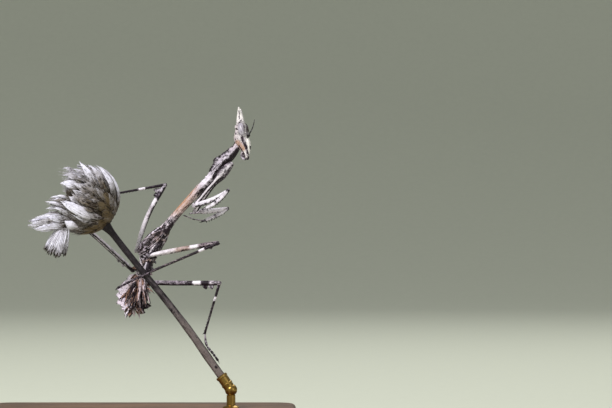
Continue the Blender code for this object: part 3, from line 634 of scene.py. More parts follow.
# the painted dark amount turns the pigment brown: towards each eye's front edge, and on the far eye also as
# painted shade
shade = add(tree, "Mix", {0: brown, 6: pigment.outputs[0], 7: "#3B2518"}, **COLOURS)
lens = add(tree, "TexVoronoi", {"Vector": where, "Scale": 1 / (0.045 * MM)})
bump = add(tree, "Bump", {"Height": lens.outputs["Distance"], "Strength": 0.25, "Distance": 0.01 * MM},
           invert=True)
gloss = add(tree, "Math", {0: fleck.outputs["Fac"], 1: 0.16, 2: 0.4}, **TIMES_PLUS)
shader = add(tree, "BsdfPrincipled", {
    "Base Color": shade.outputs[2], "Roughness": gloss.outputs[0], "IOR": 1.54, "Coat Weight": 0.06,
    "Coat Roughness": 0.3, "Normal": bump.outputs[0]})
add(tree, "OutputMaterial", {"Surface": shader.outputs[0]})
eye_glass = (lens_chitin, "compound_eye")

# %% Eyes and bead eyes
SIDES = (("right", 1), ("left", -1))
for name, side in SIDES:
    centre = on_head(EYE_FRONT, EYE_SIDE * side, EYE_UP)
    eye = egg(centre, EYE_HALF, (FRONT, RIGHT * side, UP), 56, 40)
    ways = unit(eye["points"] - centre)
    # each eye is dark brown towards its front, and the far eye's front is painted twice as dark, as painted
    # shade
    forward = np.clip((ways @ FRONT - 0.45) * 2.2, 0, 0.95) * (0.45 if side > 0 else 1)
    eye["dark"] = forward + 0.3 * clamp(ways @ UP - 0.4)
    make(f"compound_eye_{name}", [eye], eye_glass, [f"eye_{name}"], sharp=180)
beads = [head_egg(1.0, side, up, (0.09, 0.1, 0.11), 14, 10)
         for side, up in ((0.0, 0.32), (0.2, 0.58), (-0.2, 0.58))]
make("bead_eyes", [plain(bead, 0.35) for bead in beads], eye_glass, sharp=180)

# %% [markdown]
# ### Feelers and mouthparts
#
# A feeler is a chain: a thick scape at its root, then a thread of short rings. One swept tube whose
# radius swells once per ring gives that chain. The palps beside the mouth are chains of three or
# four longer joints, and the labrum is a small rounded flap.

# %% Feelers
FEELER = (   # front, side, up and radius
    (FEELER_FRONT, FEELER_SIDE, 0.0, 0.15), (1.55, 0.42, 0.5, 0.11), (2.1, 0.48, 1.15, 0.085),
    (2.62, 0.52, 2.05, 0.065), (2.92, 0.55, 2.85, 0.04))


def ringed(rings, depth):
    """A profile that swells once per ring, sharpest at the ring's outer end."""
    return lambda angle, share: 1 + depth * ((share * rings) % 1) ** 2 + 0 * angle


feeler_cuticle = mottled("feeler_cuticle", "dark_feeler_chitin", "#3E3A42", "#83848C", "#4E3B33",
                         "#0A0809", "#211819", 0.3)
for name, side in SIDES:
    # the left feeler stands a little further back than the right one
    back_by = 0.43 * (side < 0)
    rows = [(*on_head(front - back_by * out, out * side, up), radius, radius)
            for front, out, up, radius in FEELER]
    thread = sweep(smooth(rows, 150), FRONT, sides=12, profile=ringed(19, 0.22))
    thread = bands(thread, [(place / 12, 0.75 - 0.5 * (place % 3 == 2), 0.2, 0.6) for place in range(13)])
    scape = head_tube(((0.92, 0.34 * side, -0.06, 0.2, 0.2), (1.22, 0.38 * side, 0.18, 0.22, 0.22),
                       (1.34, 0.4 * side, 0.3, 0.17, 0.17)), 14, FRONT, 16)
    scape = bands(scape, ((0, 0.5, 0.3, 0.5), (1, 0.9, 0.2, 0.4)))
    make(f"feeler_{name}", [thread, scape], feeler_cuticle, [f"antenna_{name}"])

# %% Labrum and palps
LABRUM = ((0, 0.8), (0.6, 1.0), (1, 0.55))
PALPS = (   # the places of each palp, as front, side and up, and its radius
    (((-0.1, 0.44, -2.5), (-0.5, 0.56, -3.0), (-0.46, 0.52, -3.6), (-0.1, 0.46, -4.0)), 0.14),
    (((-0.2, 0.2, -2.9), (-0.42, 0.26, -3.4), (-0.22, 0.24, -3.85)), 0.12))
flap = blade(on_head(0.8, 0, -2.45), on_head(0.62, 0, -3.55), FRONT, 0.46, 0.22, -0.25, 0.05, LABRUM)
mouth = [plain(flap, 0.3, 0.1, 0.8),
         plain(head_egg(0.02, 0, -3.0, (0.42, 0.46, 0.78), 20, 14), 0.55, 0.1, 0.4)]
for side in (1, -1):
    for path, radius in PALPS:
        palp = head_tube([(front, out * side, up, radius, radius) for front, out, up in path], 48, RIGHT, 12,
                         ringed(len(path), 0.35))
        mouth.append(bands(palp, ((0, 0.2, 0.2, 0.7), (0.5, 0.6, 0, 0.6), (0.75, 0.1, 0, 0.9),
                                  (1, 0.5, 0, 0.6))))
make("mouth_flap_and_palps", mouth, body_cuticle, ["mouthparts"])

# %% [markdown]
# ## The trunk
#
# The trunk is one unbroken coat from the neck to the tip of the belly: a long narrow prothorax that
# widens over the front legs, a stouter chest, and a belly that curls up over its own back and is
# built of telescoping rings. The prothorax has a keel along its back and a thin edge on each side.

# %% Centre lines of the trunk
NECK = ((17.62, 3.15, 53.15, 0.6, 0.6), (17.4, 3.05, 52.6, 0.55, 0.58), (17.0, 3.0, 51.7, 0.62, 0.66))
CHEST_FRONT = (
    (17.42, 3.0, 52.1, 0.66, 0.68), (16.9, 3.0, 51.5, 0.88, 0.84), (16.2, 3.0, 50.7, 1.02, 0.96),
    (14.95, 3.0, 49.5, 1.18, 1.26), (14.0, 3.1, 48.3, 1.16, 1.38), (12.62, 3.3, 46.33, 0.84, 0.92),
    (10.5, 3.5, 44.31, 0.8, 0.78), (7.95, 3.6, 41.55, 0.73, 0.75), (5.9, 3.8, 39.2, 0.76, 0.82),
    (4.55, 3.9, 37.4, 0.92, 0.94),
)
CHEST_REAR = (
    (4.7, 3.9, 37.7, 0.82, 0.86), (3.6, 4.0, 36.2, 1.4, 1.32), (2.3, 4.1, 34.6, 1.74, 1.66),
    (1.4, 4.2, 32.9, 1.62, 1.68), (1.0, 4.3, 31.5, 1.32, 1.46),
)
BELLY = (
    (1.1, 4.3, 32.0, 1.26, 1.38), (0.7, 4.7, 30.3, 1.26, 1.42), (0.2, 5.0, 28.9, 1.16, 1.42),
    (-0.3, 5.1, 27.6, 1.12, 1.72), (-0.82, 4.65, 25.9, 1.1, 2.15), (-1.0, 4.1, 25.05, 1.12, 2.36),
    (-1.2, 2.9, 24.15, 1.0, 2.2), (-1.35, 1.3, 23.5, 0.8, 1.6), (-1.4, -0.4, 23.25, 0.52, 0.95),
    (-1.4, -1.75, 23.3, 0.26, 0.42),
)
CHEST_UP = ((-0.72, -0.12, 0.68),)
REAR_UP = ((-0.75, -0.25, 0.6), (-0.78, -0.5, 0.35))
BELLY_UP = ((-0.78, -0.55, 0.25), (-0.75, -0.66, 0.05), (-0.68, -0.72, 0.0), (-0.55, -0.8, 0.12),
            (-0.35, -0.6, 0.55), (-0.12, -0.25, 0.9), (-0.1, -0.1, 1.0))


def chest_shape(angle, share):
    """A keel on the back, a thin edge on each side and a flatter underside."""
    turn = from_top(angle)
    edge = 0.1 * hill(turn, 1.35, 0.16) * (0.5 + 0.5 * hill(share, 0.35, 0.22))
    return 1 + 0.07 * hill(turn, 0, 0.2) + edge - 0.06 * hill(turn, math.pi, 0.5)


def rear_shape(angle, share):
    """Three plates that overlap, with low ridges over the back."""
    turn = from_top(angle)
    plates = 0.05 * ((share * 3) % 1) ** 2
    return 0.98 + plates + 0.05 * hill(turn, 0, 0.2) + 0.02 * np.cos(7 * turn)


RINGS = 8    # rings of the belly

def belly_shape(angle, share):
    """Telescoping rings, each a little wider at its rear edge, with a low keel and fine ribs."""
    turn = from_top(angle)
    step = (share * RINGS) % 1
    return 0.95 + 0.1 * step ** 2 + 0.06 * hill(turn, 0, 0.16) * step + 0.018 * np.cos(11 * angle)


# %% One skin for the trunk
chest_line = smooth(CHEST_FRONT, 150)
rear_line = smooth(CHEST_REAR, 60)
belly_line = smooth(BELLY, 130)
trunk_parts = [
    sweep(smooth(NECK, 14), CHEST_UP, sides=32, profile=ringed(3, 0.1)),
    sweep(chest_line, CHEST_UP, sides=56, profile=chest_shape),
    sweep(rear_line, REAR_UP, sides=56, profile=rear_shape),
    sweep(belly_line, BELLY_UP, sides=72, profile=belly_shape, caps=4),
]
along, top, across = frame_of(chest_line, CHEST_UP)


def tooth(root, tip, sizes, ups=(0, 1, 0), middle=None):
    """A small pointed tooth. Its sizes are those at the root, the middle and the tip."""
    middle = (root + tip) / 2 if middle is None else middle
    rows = [(*place, high, wide) for place, (high, wide) in zip((root, middle, tip), sizes)]
    return sweep(rows, ups, sides=8, caps=1)


for index in range(8, 118, 6):
    for side in (1, -1):
        # small teeth along both edges of the prothorax, longest over the front legs
        high, wide = chest_line[index, 3:]
        root = chest_line[index, :3] + across[index] * side * wide * 1.02 + top[index] * high * 0.2
        size = 0.14 + 0.16 * hill(index, 40, 26)
        tip = root + (across[index] * side * 0.9 - along[index] * 0.25 + top[index] * 0.15) * size
        trunk_parts.append(tooth(root, tip, ((0.11, 0.11), (0.08, 0.08), (0.03, 0.03)), (0, 0, 1)))
for index, spread in ((22, 0.45), (40, 0.55), (60, 0.5), (78, 0.4)):
    for side in (1, -1):
        # pairs of blunt bumps on the back
        keel = top[index] * chest_line[index, 3] * 0.86
        root = chest_line[index, :3] + across[index] * side * spread + keel
        trunk_parts.append(tooth(root, root + top[index] * 0.34, ((0.17, 0.17), (0.1, 0.1), (0.04, 0.04)),
                                 middle=root + top[index] * 0.2))
for index in sorted(chance.choice(np.arange(5, 70), 15, replace=False)):
    # a ragged row of teeth along the keel of the back
    root = chest_line[index, :3] + top[index] * chest_line[index, 3] * 0.9
    size = 0.1 + 0.26 * chance.random()
    tip = root + (top[index] + along[index] * 0.5 + across[index] * 0.5 * (chance.random() - 0.5)) * size
    trunk_parts.append(tooth(root, tip, ((0.15, 0.13), (0.11, 0.09), (0.04, 0.04))))
HUMP = ((13.82, 2.9, 49.62), (0.66, 0.9, 0.85))    # where the keel stands highest, over the front legs
trunk_parts.append(egg(*HUMP, (unit((-0.72, -0.12, 0.68)), unit((0, 1, 0.2)), unit((0.69, 0, 0.73))), 20, 14))
trunk = roughen(merge(trunk_parts, 0.07), (0.42, 0.03), (0.15, 0.024))
print("trunk skin points:", len(trunk["points"]))

# %% Where each point of the trunk lies
BLOCK = 4000    # points measured at once, which keeps the arrays small


def locate(points, rows, ups):
    """For each point its distance to the line, share along the line and angle from the top."""
    along, top, across = frame_of(rows, ups)
    nearest = np.empty(len(points), int)
    for start in range(0, len(points), BLOCK):
        block = points[start:start + BLOCK]
        nearest[start:start + BLOCK] = np.argmin(((block[:, None] - rows[None, :, :3]) ** 2).sum(-1), axis=1)
    offset = points - rows[nearest, :3]
    angle = np.arctan2((offset * across[nearest]).sum(1), (offset * top[nearest]).sum(1))
    return np.linalg.norm(offset, axis=1), nearest / (len(rows) - 1), angle


# %% [markdown]
# ### Markings of the trunk
#
# The back of the prothorax has a black line at the front and a tan stretch behind, with a white
# patch between them, and its underside is darkened as painted shade. The chest is nearly black,
# with pale flecks along its back ridge that are a painted highlight. The belly has cream and black
# streaks that fan out towards its tip, and is palest on its left edge, partly its own pale colour
# and partly painted light from the upper left. The front of the prothorax is also the roughest
# part, so its granules are raised further.

# %% How the trunk is divided
places = trunk["points"]
gap_chest, chest_at, chest_turn = locate(places, chest_line, CHEST_UP)
gap_rear, rear_at, rear_turn = locate(places, rear_line, REAR_UP)
gap_belly, belly_at, belly_turn = locate(places, belly_line, BELLY_UP)
zone = np.argmin(np.stack([gap_chest, gap_rear, gap_belly]), axis=0)
on_rear, on_belly = zone == 1, zone == 2
rough = grain(places, 0.55)
rugged = np.interp(chest_at, (0.05, 0.12, 0.31, 0.4), (0.2, 1, 1, 0)) * (zone == 0)
trunk["points"] = places + trunk["normals"] * ((0.1 * rough + 0.07 * grain(places, 0.27)) * rugged)[:, None]
print("points on chest, rear and belly:", np.bincount(zone).tolist())

# %% Painting the prothorax
# painted shade: the prothorax's underside is darkened, most towards the front
under = clamp((np.abs(chest_turn) - 1.3) / 0.5)
keel_line = hill(np.abs(chest_turn), 0, 0.5) * clamp((0.37 - chest_at) / 0.06)
dark = np.interp(chest_at, (0, 0.05, 0.12, 0.29, 0.35, 0.38, 0.45, 0.52, 0.66, 0.84, 0.93, 1),
                 (0.2, 0.28, 0.4, 0.46, 0.3, 0.0, 0.05, 0.18, 0.1, 0.25, 0.45, 0.6))
dark = dark + (0.6 + 0.5 * rough) * keel_line
dark = dark + under * np.interp(chest_at, (0, 0.4, 0.6, 1), (0.75, 0.75, 0.35, 0.45)) + 0.22 * rough
warm = np.interp(chest_at, (0, 0.06, 0.12, 0.46, 0.54, 0.82, 0.92), (0.5, 0.2, 0, 0, 0.9, 1.0, 0.2))
on_back = warm * hill(np.abs(chest_turn), 0, 0.75) * 0.5
warm = warm * np.interp(chest_at, (0.5, 0.7, 0.85), (0.2, 0.85, 0.55)) + on_back
pale = 0.66 + 0.6 * hill(chest_at, 0.41, 0.06) + 0.22 * clamp((chest_at - 0.5) * 4)

# %% Painting the chest's rear
# painted highlight: the chest's back ridge is painted paler and less dark, where the light falls on it
ridge = hill(np.abs(rear_turn), 0, 0.34)
beads = clamp(np.cos(48 * rear_at)) * hill(np.abs(rear_turn), 0.3, 0.2)
dark = np.where(on_rear, 0.84 - 0.66 * ridge + beads + 0.6 * rough + 0.7 * grain(places, 0.25), dark)
warm = np.where(on_rear, 0.65 * clamp(grain(places, 1.0) * 3) * (1 - ridge), warm)
pale = np.where(on_rear, 0.7 + 0.2 * ridge, pale)

# %% Painting the belly
# streaks spread like a fan from the belly's root, in front and behind alike
FAN = np.array((-0.3, 3.0, 29.6))
spoke = np.arctan2(places[:, 0] - FAN[0], FAN[2] - places[:, 2])
away = np.linalg.norm((places - FAN) * (1, 0, 1), axis=1)
streak = grain(np.stack([spoke * 9.0, away * 0.55, places[:, 1] * 0.4], 1), 1.0) * 1.6
# the belly's left side is painted paler: partly its own pale colour, partly painted light from the upper left
left = clamp((-spoke - 0.18) / 0.35)
bare = np.interp(belly_at, (0, 0.22, 0.34, 1), (0, 0, 1, 1))
speckle = clamp((0.36 - belly_at) * 8) * grain(places, 0.24)
belly_dark = 0.45 + 0.85 * streak + 0.9 * speckle - left * bare * (0.45 + 0.3 * streak)
dark = np.where(on_belly, np.clip(belly_dark, 0.0, 1.2), dark)
dark = dark + 0.5 * on_belly * clamp((belly_at - 0.7) * 6)
warm = np.where(on_belly, 0.12 + 0.5 * clamp(0.25 - np.abs(streak)) * (1 - left), warm)
pale = np.where(on_belly, 0.8 + 0.2 * left, pale)

# %% The trunk's skin
trunk["dark"], trunk["warm"], trunk["pale"] = dark, warm, pale
round_about = np.choose(zone, (chest_turn, rear_turn, belly_turn))
reach = np.choose(zone, (gap_chest, gap_rear, gap_belly))
run_along = np.choose(zone, (chest_at * 20, 20 + rear_at * 7, 27 + belly_at * 14))
lengthwise = np.column_stack([run_along * STRETCH, reach * np.cos(round_about), reach * np.sin(round_about)])
fanned = np.column_stack([away * STRETCH, spoke * 4, places[:, 1] * 0.5])
trunk["flow"] = np.where(on_belly[:, None], fanned, lengthwise)
make("trunk_skin", [trunk], body_cuticle,
     ["neck", "pronotum", "thorax", "abdomen_front", "abdomen_middle", "abdomen_tip"], sharp=180)

# %% [markdown]
# ### Leaf lobes, wing pads and tail feelers
#
# Each ring of the belly carries a leaf-shaped lobe on its edge, which makes the belly look like a
# dead leaf or a tuft of chaff. Smaller points lie over the back of each ring. The wing pads of a
# nymph are short scales laid back along the chest, with the veins of the future wing as ridges.

# %% Belly lobes: tip, half width, dark, warm, pale
EDGE_LOBES = (
    ((-2.75, 5.2, 28.3), 0.9, 0.1, 0.0, 1.0), ((-3.75, 5.0, 27.2), 1.1, 0.08, 0.0, 1.0),
    ((-4.5, 4.6, 26.4), 1.0, 0.05, 0.0, 1.0), ((-4.65, 3.9, 25.2), 1.2, 0.08, 0.0, 1.0),
    ((-4.5, 3.2, 23.9), 1.1, 0.1, 0.1, 1.0), ((-3.5, 1.6, 22.7), 0.8, 0.35, 0.1, 0.8),
    ((-2.4, 1.2, 21.5), 0.7, 0.2, 0.3, 1.0), ((-1.5, 0.2, 22.0), 0.6, 0.7, 0.1, 0.6),
    ((0.95, 1.0, 22.2), 0.7, 0.75, 0.1, 0.5), ((2.0, 2.0, 23.4), 0.8, 0.9, 0.0, 0.4),
    ((1.6, 3.2, 24.7), 0.8, 0.85, 0.0, 0.5), ((1.2, 3.2, 26.1), 0.7, 0.7, 0.1, 0.6),
    ((2.95, 3.2, 32.0), 0.7, 0.9, 0.0, 0.4), ((2.75, 3.3, 31.0), 0.7, 0.85, 0.0, 0.5),
    ((2.2, 3.6, 29.8), 0.6, 0.8, 0.0, 0.6), ((-1.1, 5.6, 30.2), 0.7, 0.6, 0.0, 0.6),
    ((-1.2, 7.2, 27.2), 0.8, 0.5, 0.0, 0.6),
)
belly_along, belly_top, belly_across = frame_of(belly_line, BELLY_UP)


def lobe(nearest, tip, half, marks):
    """A leaf lobe from the belly's side, a little before the nearest row of its line, to a tip."""
    index = max(nearest - 5, 0)
    out = unit(np.array(tip) - belly_line[index, :3])
    share = abs(out @ belly_top[index])
    radius = belly_line[index, 3] * share + belly_line[index, 4] * (1 - share)
    root = belly_line[index, :3] + out * radius * 0.5
    face = np.cross(out, belly_along[index]) + (-0.2, -0.9, 0.7)
    leaf = blade(root, tip, face, half, 0.2, 0.22, 0.06, LEAF, 16, 13, 0.12)
    edge = np.abs(leaf["angle"]) ** 2
    vein = hill(leaf["angle"], 0, 0.2)
    ribs = np.cos(12 * leaf["angle"] + 5 * chance.random()) * (0.3 + 0.7 * leaf["share"])
    burnt = 0.4 * (leaf["share"] > 0.93)
    leaf["dark"] = marks[0] + 0.22 * edge * leaf["share"] - 0.25 * vein + burnt + 0.24 * ribs
    leaf["warm"] = marks[1] + 0.35 * clamp(leaf["share"] - 0.7)
    leaf["pale"] = marks[2] + 0.3 * vein
    return leaf


def nearest_row(place):
    """The row of the belly's line that lies nearest to a place."""
    return int(np.argmin(np.linalg.norm(belly_line[:, :3] - place, axis=1)))


lobes = [lobe(nearest_row(tip), tip, half, marks) for tip, half, *marks in EDGE_LOBES]
for (tip, half, *marks), (after, *_) in zip(EDGE_LOBES[:5], EDGE_LOBES[1:6]):
    # a shorter lobe fills each gap on the leafy left edge
    middle = (np.array(tip) + np.array(after)) / 2
    index = nearest_row(middle)
    middle = middle + (belly_line[index, :3] - middle) * 0.12 + np.array((0.0, -0.25, 0.0))
    lobes.append(lobe(index, middle, half * 0.8, (marks[0] + 0.1, 0.1, marks[2] - 0.1)))
print("edge lobes:", len(lobes))

# %% Pointed scales on the belly's rings
SPIKE = ((0, 0.5), (0.2, 0.9), (0.45, 1.0), (0.7, 0.62), (0.9, 0.25), (1, 0.04))
CREAM, BLACK, BROWN, LILAC = (0.14, 0.35, 0.8), (1.0, 0.0, 0.2), (0.5, 0.8, 0.3), (0.08, 0.0, 1.0)
RING_SCALES = (   # share along the belly, count, widest turn, length, lean towards the front, lift
    (0.16, 6, 1.2, 1.5, 0.15, 0.3), (0.25, 7, 1.3, 1.9, 0.2, 0.22), (0.33, 9, 1.4, 2.3, 0.35, 0.2),
    (0.4, 11, 1.5, 2.6, 0.6, 0.2), (0.47, 12, 1.5, 2.8, 0.85, 0.2), (0.54, 13, 1.5, 2.8, 1.05, 0.2),
    (0.61, 13, 1.5, 2.6, 1.15, 0.25), (0.68, 12, 1.6, 2.2, 1.15, 0.35), (0.76, 12, 1.9, 1.9, 0.8, 0.45),
    (0.84, 11, 2.4, 1.7, 0.45, 0.55), (0.93, 9, 2.8, 1.3, 0.3, 0.6))
for share, count, widest, length, towards, lift in RING_SCALES:
    index = int(share * (len(belly_line) - 1))
    row = belly_line[index]
    for turn in np.linspace(-widest, widest, count):
        turn = turn + 0.16 * (chance.random() - 0.5)
        out = unit(belly_top[index] * math.cos(turn) + belly_across[index] * math.sin(turn))
        spot = belly_top[index] * row[3] * math.cos(turn) + belly_across[index] * row[4] * math.sin(turn)
        root = row[:3] + spot * 0.86
        spread = unit((root - FAN) * (1, 0, 1) + (0.15 * chance.normal(), 0, -0.6))
        tip = root + unit(spread + out * lift + (0, -towards, 0)) * length * (0.8 + 0.4 * chance.random())
        if tip[2] < 24.3:
            # the belly's lower left corner is cut back
            tip[0] = max(tip[0], -2.9 + 0.3 * chance.random())
        pick = chance.random()
        marks = CREAM if pick < 0.6 else BLACK if pick < 0.78 else BROWN
        if turn > 0.4 and pick < 0.75:
            marks = LILAC
        half = 0.34 + 0.16 * chance.random()
        leaf = blade(root, tip, out + (0, -0.5, 0), half, 0.13, -0.3, 0.07, SPIKE, 12, 7)
        rim = 0.7 * (np.abs(leaf["angle"]) > 0.85) * (marks[0] < 0.5)
        leaf = plain(leaf, *marks)
        # the right half of most scales is darkened as painted shade, on the side away from the light
        leaf["dark"] = leaf["dark"] + rim + 0.35 * (leaf["angle"] > 0.5) * (pick > 0.25)
        lobes.append(leaf)

# %% Long strips over the belly's upturned end
STRIP_ROWS = 14
GOLDEN = 0.382    # steps of this size spread any number of strips evenly
for number in range(44):
    aside = 2 * (number * GOLDEN % 1) - 1
    root = np.array((-0.25 + 1.0 * aside, 3.6 - 0.5 * abs(aside), 28.3 - 2.6 * chance.random()))
    tip = np.array((-0.35 + 2.3 * aside + 0.5 * chance.normal(), -1.3 - 1.3 * chance.random(),
                    22.3 + 1.2 * aside * aside + 3.2 * chance.random()))
    bend = (root + tip) / 2 + (0.0, -0.7 - 0.6 * chance.random(), 0.35)
    line = smooth((root, bend, tip), STRIP_ROWS)
    pick = chance.random()
    marks = CREAM if pick < 0.58 else BLACK if pick < 0.66 else (0.3, 0.8, 0.4)
    face = np.tile((0.6 * chance.normal(), -1.0, 0.25), (STRIP_ROWS, 1))
    strip = ribbon(line, face, 0.24 + 0.22 * chance.random(), 0.11, -0.2, SPIKE, 7)
    strip = bands(strip, ((0, *marks), (0.45, *marks), (0.8, min(marks[0] + 0.2, 1.0), *marks[1:])))
    shaded = 0.6 * (strip["angle"] > 0.5) * (marks[0] < 0.5)
    strip["dark"] = strip["dark"] + shaded + 0.4 * (strip["share"] > 0.9)
    lobes.append(strip)
make("belly_lobes", lobes, body_cuticle)

# %% Tail feelers
TAIL = ((0.2, 0.5, 0.0, 0.16), (0.44, -0.2, 0.05, 0.13), (0.58, -0.9, 0.15, 0.05))
end = np.array(BELLY[-1][:3])
for name, side in SIDES:
    path = [(*(end + np.array((x * side, y, z))), radius, radius) for x, y, z, radius in TAIL]
    tail = sweep(smooth(path, 60), (0, 0, 1), sides=14, profile=ringed(8, 0.22))
    tail = bands(tail, ((0, 0.9, 0, 0.4), (0.5, 0.75, 0.3, 0.5), (1, 0.9, 0.1, 0.4)))
    make(f"tail_feeler_{name}", [tail], body_cuticle, [f"cercus_{name}"])

# %% Wing pads
PADS = {   # root, tip and the way that it faces
    "right": ((4.05, 2.55, 36.9), (-0.65, 2.65, 33.25), (-0.25, -0.9, 0.3)),
    "left": ((3.25, 4.95, 37.4), (-0.8, 6.05, 33.8), (-0.75, 0.2, 0.6)),
}
PAD = ((0, 0.35), (0.15, 0.72), (0.35, 0.95), (0.6, 1.0), (0.8, 0.82), (0.93, 0.45), (1, 0.12))


def veined(root, tip, face, half, veins):
    """A pad whose long veins stand up as ridges and are painted pale between dark streaks."""
    pad = blade(root, tip, face, half, 0.34, -0.32, 0.05, PAD, 40, 41)
    way = unit(tip - root)
    normal = unit(np.cross(way, np.cross(unit(face), way)))
    ridge = np.cos(veins * math.pi * pad["angle"]) ** 6 * (1 - pad["share"] ** 3)
    # only the pad's outer sheet, the first half of its points, has ridges
    push = (np.arange(len(ridge)) < len(ridge) // 2) * ridge * 0.07
    pad["points"] = pad["points"] - normal * np.sign(normal @ -unit(face)) * push[:, None]
    broken = grain(np.stack([pad["angle"] * 6, pad["share"] * 4, pad["share"] * 0], 1), 0.8)
    outer = clamp(pad["share"] * 2.2 - 0.5)
    patches = grain(pad["points"], 0.45)
    edge = np.abs(pad["angle"]) > 0.88
    pad["dark"] = 0.8 - ridge * (0.1 + 0.5 * outer) + 0.8 * broken + 0.75 * patches - 0.5 * edge
    pad["warm"] = 0.8 * clamp(0.6 - 2 * broken) * (1 - 0.6 * outer)
    pad["pale"] = 0.55 + 0.4 * ridge
    return pad


for name, places in PADS.items():
    # a hind wing's pad shows below each front one
    root, tip, face = (np.array(value) for value in places)
    under_root, under_tip = root - face * 0.25 + (-0.5, 0, -0.6), tip - face * 0.3 + (0.15, 0, -0.45)
    scales = [veined(root, tip, face, 0.98, 4), veined(under_root, under_tip, face, 0.85, 3)]
    make(f"wing_pad_{name}_scale", scales, dark_cuticle, [f"wing_pad_{name}"])

# %% [markdown]
# ## Walking legs
#
# The two rear pairs of legs are for walking. Each is a chain of hard tubes: a short coxa at the
# body, a ball-like trochanter, a long keeled femur with leaf lobes near the knee, a thin tibia
# with rows of spinules and two spurs, and a tarsus of five small joints with two claws. Every tube
# is a separate shell, and the ends overlap like a ball in a socket, so no joint shows a gap.

